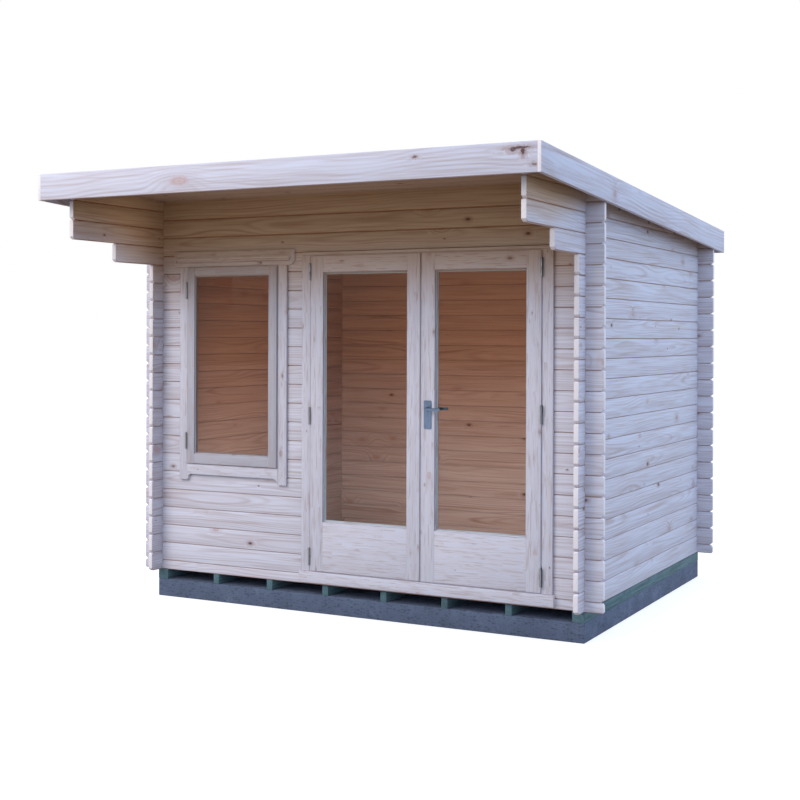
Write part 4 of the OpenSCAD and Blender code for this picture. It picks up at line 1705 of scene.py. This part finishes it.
@dataclass
class Studio:
    """The camera, the pale floor and the soft light.

    The lamps are a warm key in front, a cool fill at the right, one in the room and a very
    small one under the left of the canopy.
    """

    eye: tuple[float, float, float] = (3.89647, -7.66476, 1.66783)
    yaw: float = 0.48055
    roll: float = 0.0036
    lens: float = 60.227
    sensor: float = 36.0
    shift: float = -0.0805
    sky: str = "#dfecff"
    sky_strength: float = 1.25
    floor_size: float = 120.0
    floor_drop: float = 0.5 * MM
    floor_glow: float = 0.62
    floor_shown: str = "#c8c8ca"
    floor_light: str = "#938a81"
    lamps: tuple[Lamp, ...] = (
        Lamp("key", (-4.5, -9.0, 7.0), (0, -0.7, 1.2), (6, 6), 648, "#fff3e4"),
        Lamp("fill", (9.0, 1.0, 5.0), (1.4, 0.4, 1.2), (6, 6), 180, "#a6d3ff"),
        Lamp("indoors", (0.05, -0.66, 0.93), (0.0, 1.5, 0.7), (1.7, 1.5), 31.5, "#fadcb2"),
        Lamp(
            "canopy", (-0.68, -1.17, 2.1), (-1.42, -1.17, 2.2), (0.3, 0.3), 0.14, "#fffaf6",
            math.radians(60),
        ),
    )

    def build(self) -> None:
        """Sets up the whole studio."""
        self.camera()
        self.world()
        for lamp in self.lamps:
            lamp.hang()
        self.floor()
        bpy.context.scene.view_settings.view_transform = "Standard"

    def camera(self) -> None:
        """Sets the camera to look along its yaw, level, with a slight roll."""
        ahead = Vector((-math.sin(self.yaw), math.cos(self.yaw), 0))
        right = Vector((math.cos(self.yaw), math.sin(self.yaw), 0))
        up = Vector((0, 0, 1))
        tilted_right = right * math.cos(self.roll) + up * math.sin(self.roll)
        tilted_up = up * math.cos(self.roll) - right * math.sin(self.roll)
        turn = Matrix((tilted_right, tilted_up, -ahead)).transposed().to_4x4()
        data = bpy.data.cameras.new("camera")
        data.lens = self.lens
        data.sensor_width = self.sensor
        data.shift_y = self.shift
        camera = bpy.data.objects.new("camera", data)
        bpy.context.scene.collection.objects.link(camera)
        camera.matrix_world = Matrix.Translation(self.eye) @ turn
        bpy.context.scene.camera = camera

    def show(self, t: Tree, lit: Node, shown: Node) -> Node:
        """Lights the pieces with one shader, and shows another one.

        Args:
            t: The floor's or the world's node tree.
            lit: What diffuse light meets.
            shown: What camera, glossy and transmission rays meet.

        Returns:
            The mixed shader.
        """
        path = node(t, "LightPath").outputs
        camera, glossy = path["Is Camera Ray"], path["Is Glossy Ray"]
        seen = node(t, "Math.MAXIMUM", camera, glossy)
        seen = node(t, "Math.MAXIMUM", seen, path["Is Transmission Ray"])
        return node(t, "MixShader", seen, lit, shown)

    def world(self) -> None:
        """Lights the scene with a plain pale sky, and shows it as white."""
        world = bpy.data.worlds.new("studio")
        world.use_nodes = True
        t = world.node_tree
        t.nodes.clear()
        sky = node(t, "Background", self.sky, self.sky_strength)
        white = node(t, "Background", "#ffffff", 1.0)
        node(t, "OutputWorld", self.show(t, sky, white))
        bpy.context.scene.world = world

    def floor(self) -> None:
        """Lays a wide pale floor that keeps the cabin's soft shadow."""
        clear_selection()
        place = (0, 0, -self.floor_drop)
        bpy.ops.mesh.primitive_plane_add(size=self.floor_size, location=place)
        floor = settle(bpy.context.object, "studio_floor")
        material = new_material("pale studio floor")
        t = material.node_tree
        glow = node(t, "Emission", "#ffffff", self.floor_glow)
        shown = node(t, "AddShader", glow, node(t, "BsdfDiffuse", self.floor_shown))
        lit = node(t, "BsdfDiffuse", self.floor_light)
        node(t, "OutputMaterial", self.show(t, lit, shown))
        floor.data.materials.append(material)


def main() -> None:
    """Builds the studio and every sub-assembly, and reports each piece."""
    Studio().build()
    walls = (
        "front_foot_log",
        "front_wall_left",
        "front_wall_middle",
        "front_wall_right",
        "front_wall_top",
        "back_wall",
        "left_wall",
        "right_wall",
    )
    joinery = (
        "door_frame",
        "door_threshold",
        "door_casings",
        "door_inner_trim",
        "window_frame",
        "window_casings",
        "window_sill_board",
        "window_inner_trim",
    )
    left_leaf = ("left_door_stiles", "left_door_rails", "left_door_strip")
    right_leaf = ("right_door_stiles", "right_door_rails")
    fascias = ("front_fascia", "back_fascia", "side_fascias")
    runs = ((0, walls[:5]), (0, walls[5:6]), (1, walls[6:7]), (1, walls[7:]))
    assemblies = (
        TimberNodes(walls, LOGS, 100),
        WallTongues(runs),
        TimberNodes(joinery, JOINERY, 200),
        TimberNodes(("window_sash",), SASH, 215),
        TimberNodes(left_leaf, DOORS, 300, body=Body.LEFT_DOOR),
        TimberNodes(right_leaf, DOORS, 320, body=Body.RIGHT_DOOR),
        TimberNodes(fascias, FASCIA, 400, edge=2 * MM, fall=ROOF.fall, aside=(0.07, 0.14)),
        TimberNodes(("purlins",), BOARDS, 500),
        TimberNodes(("outer_bearers", "inner_bearers"), TREATED, 600),
        Boarding("roof_boards", 116 * MM, 510, sloping=True),
        Boarding("floor_boards", 96 * MM, 520),
        FeltCovering(),
        WindowHeadBoard(),
        Seals(),
        GlazingBeads(),
        LeverHandle(),
        Hinges(),
        ConcreteBase(),
        Panes(),
    )
    for assembly in assemblies:
        earlier = set(bpy.data.objects.keys())
        assembly.build()
        for piece in bpy.data.objects:
            if piece.name not in earlier:
                kind, faces = type(assembly).__name__, len(piece.data.polygons)
                LOG.info("%-16s %-28s %7d faces", kind, piece.name, faces)


if __name__ == "__main__":
    main()
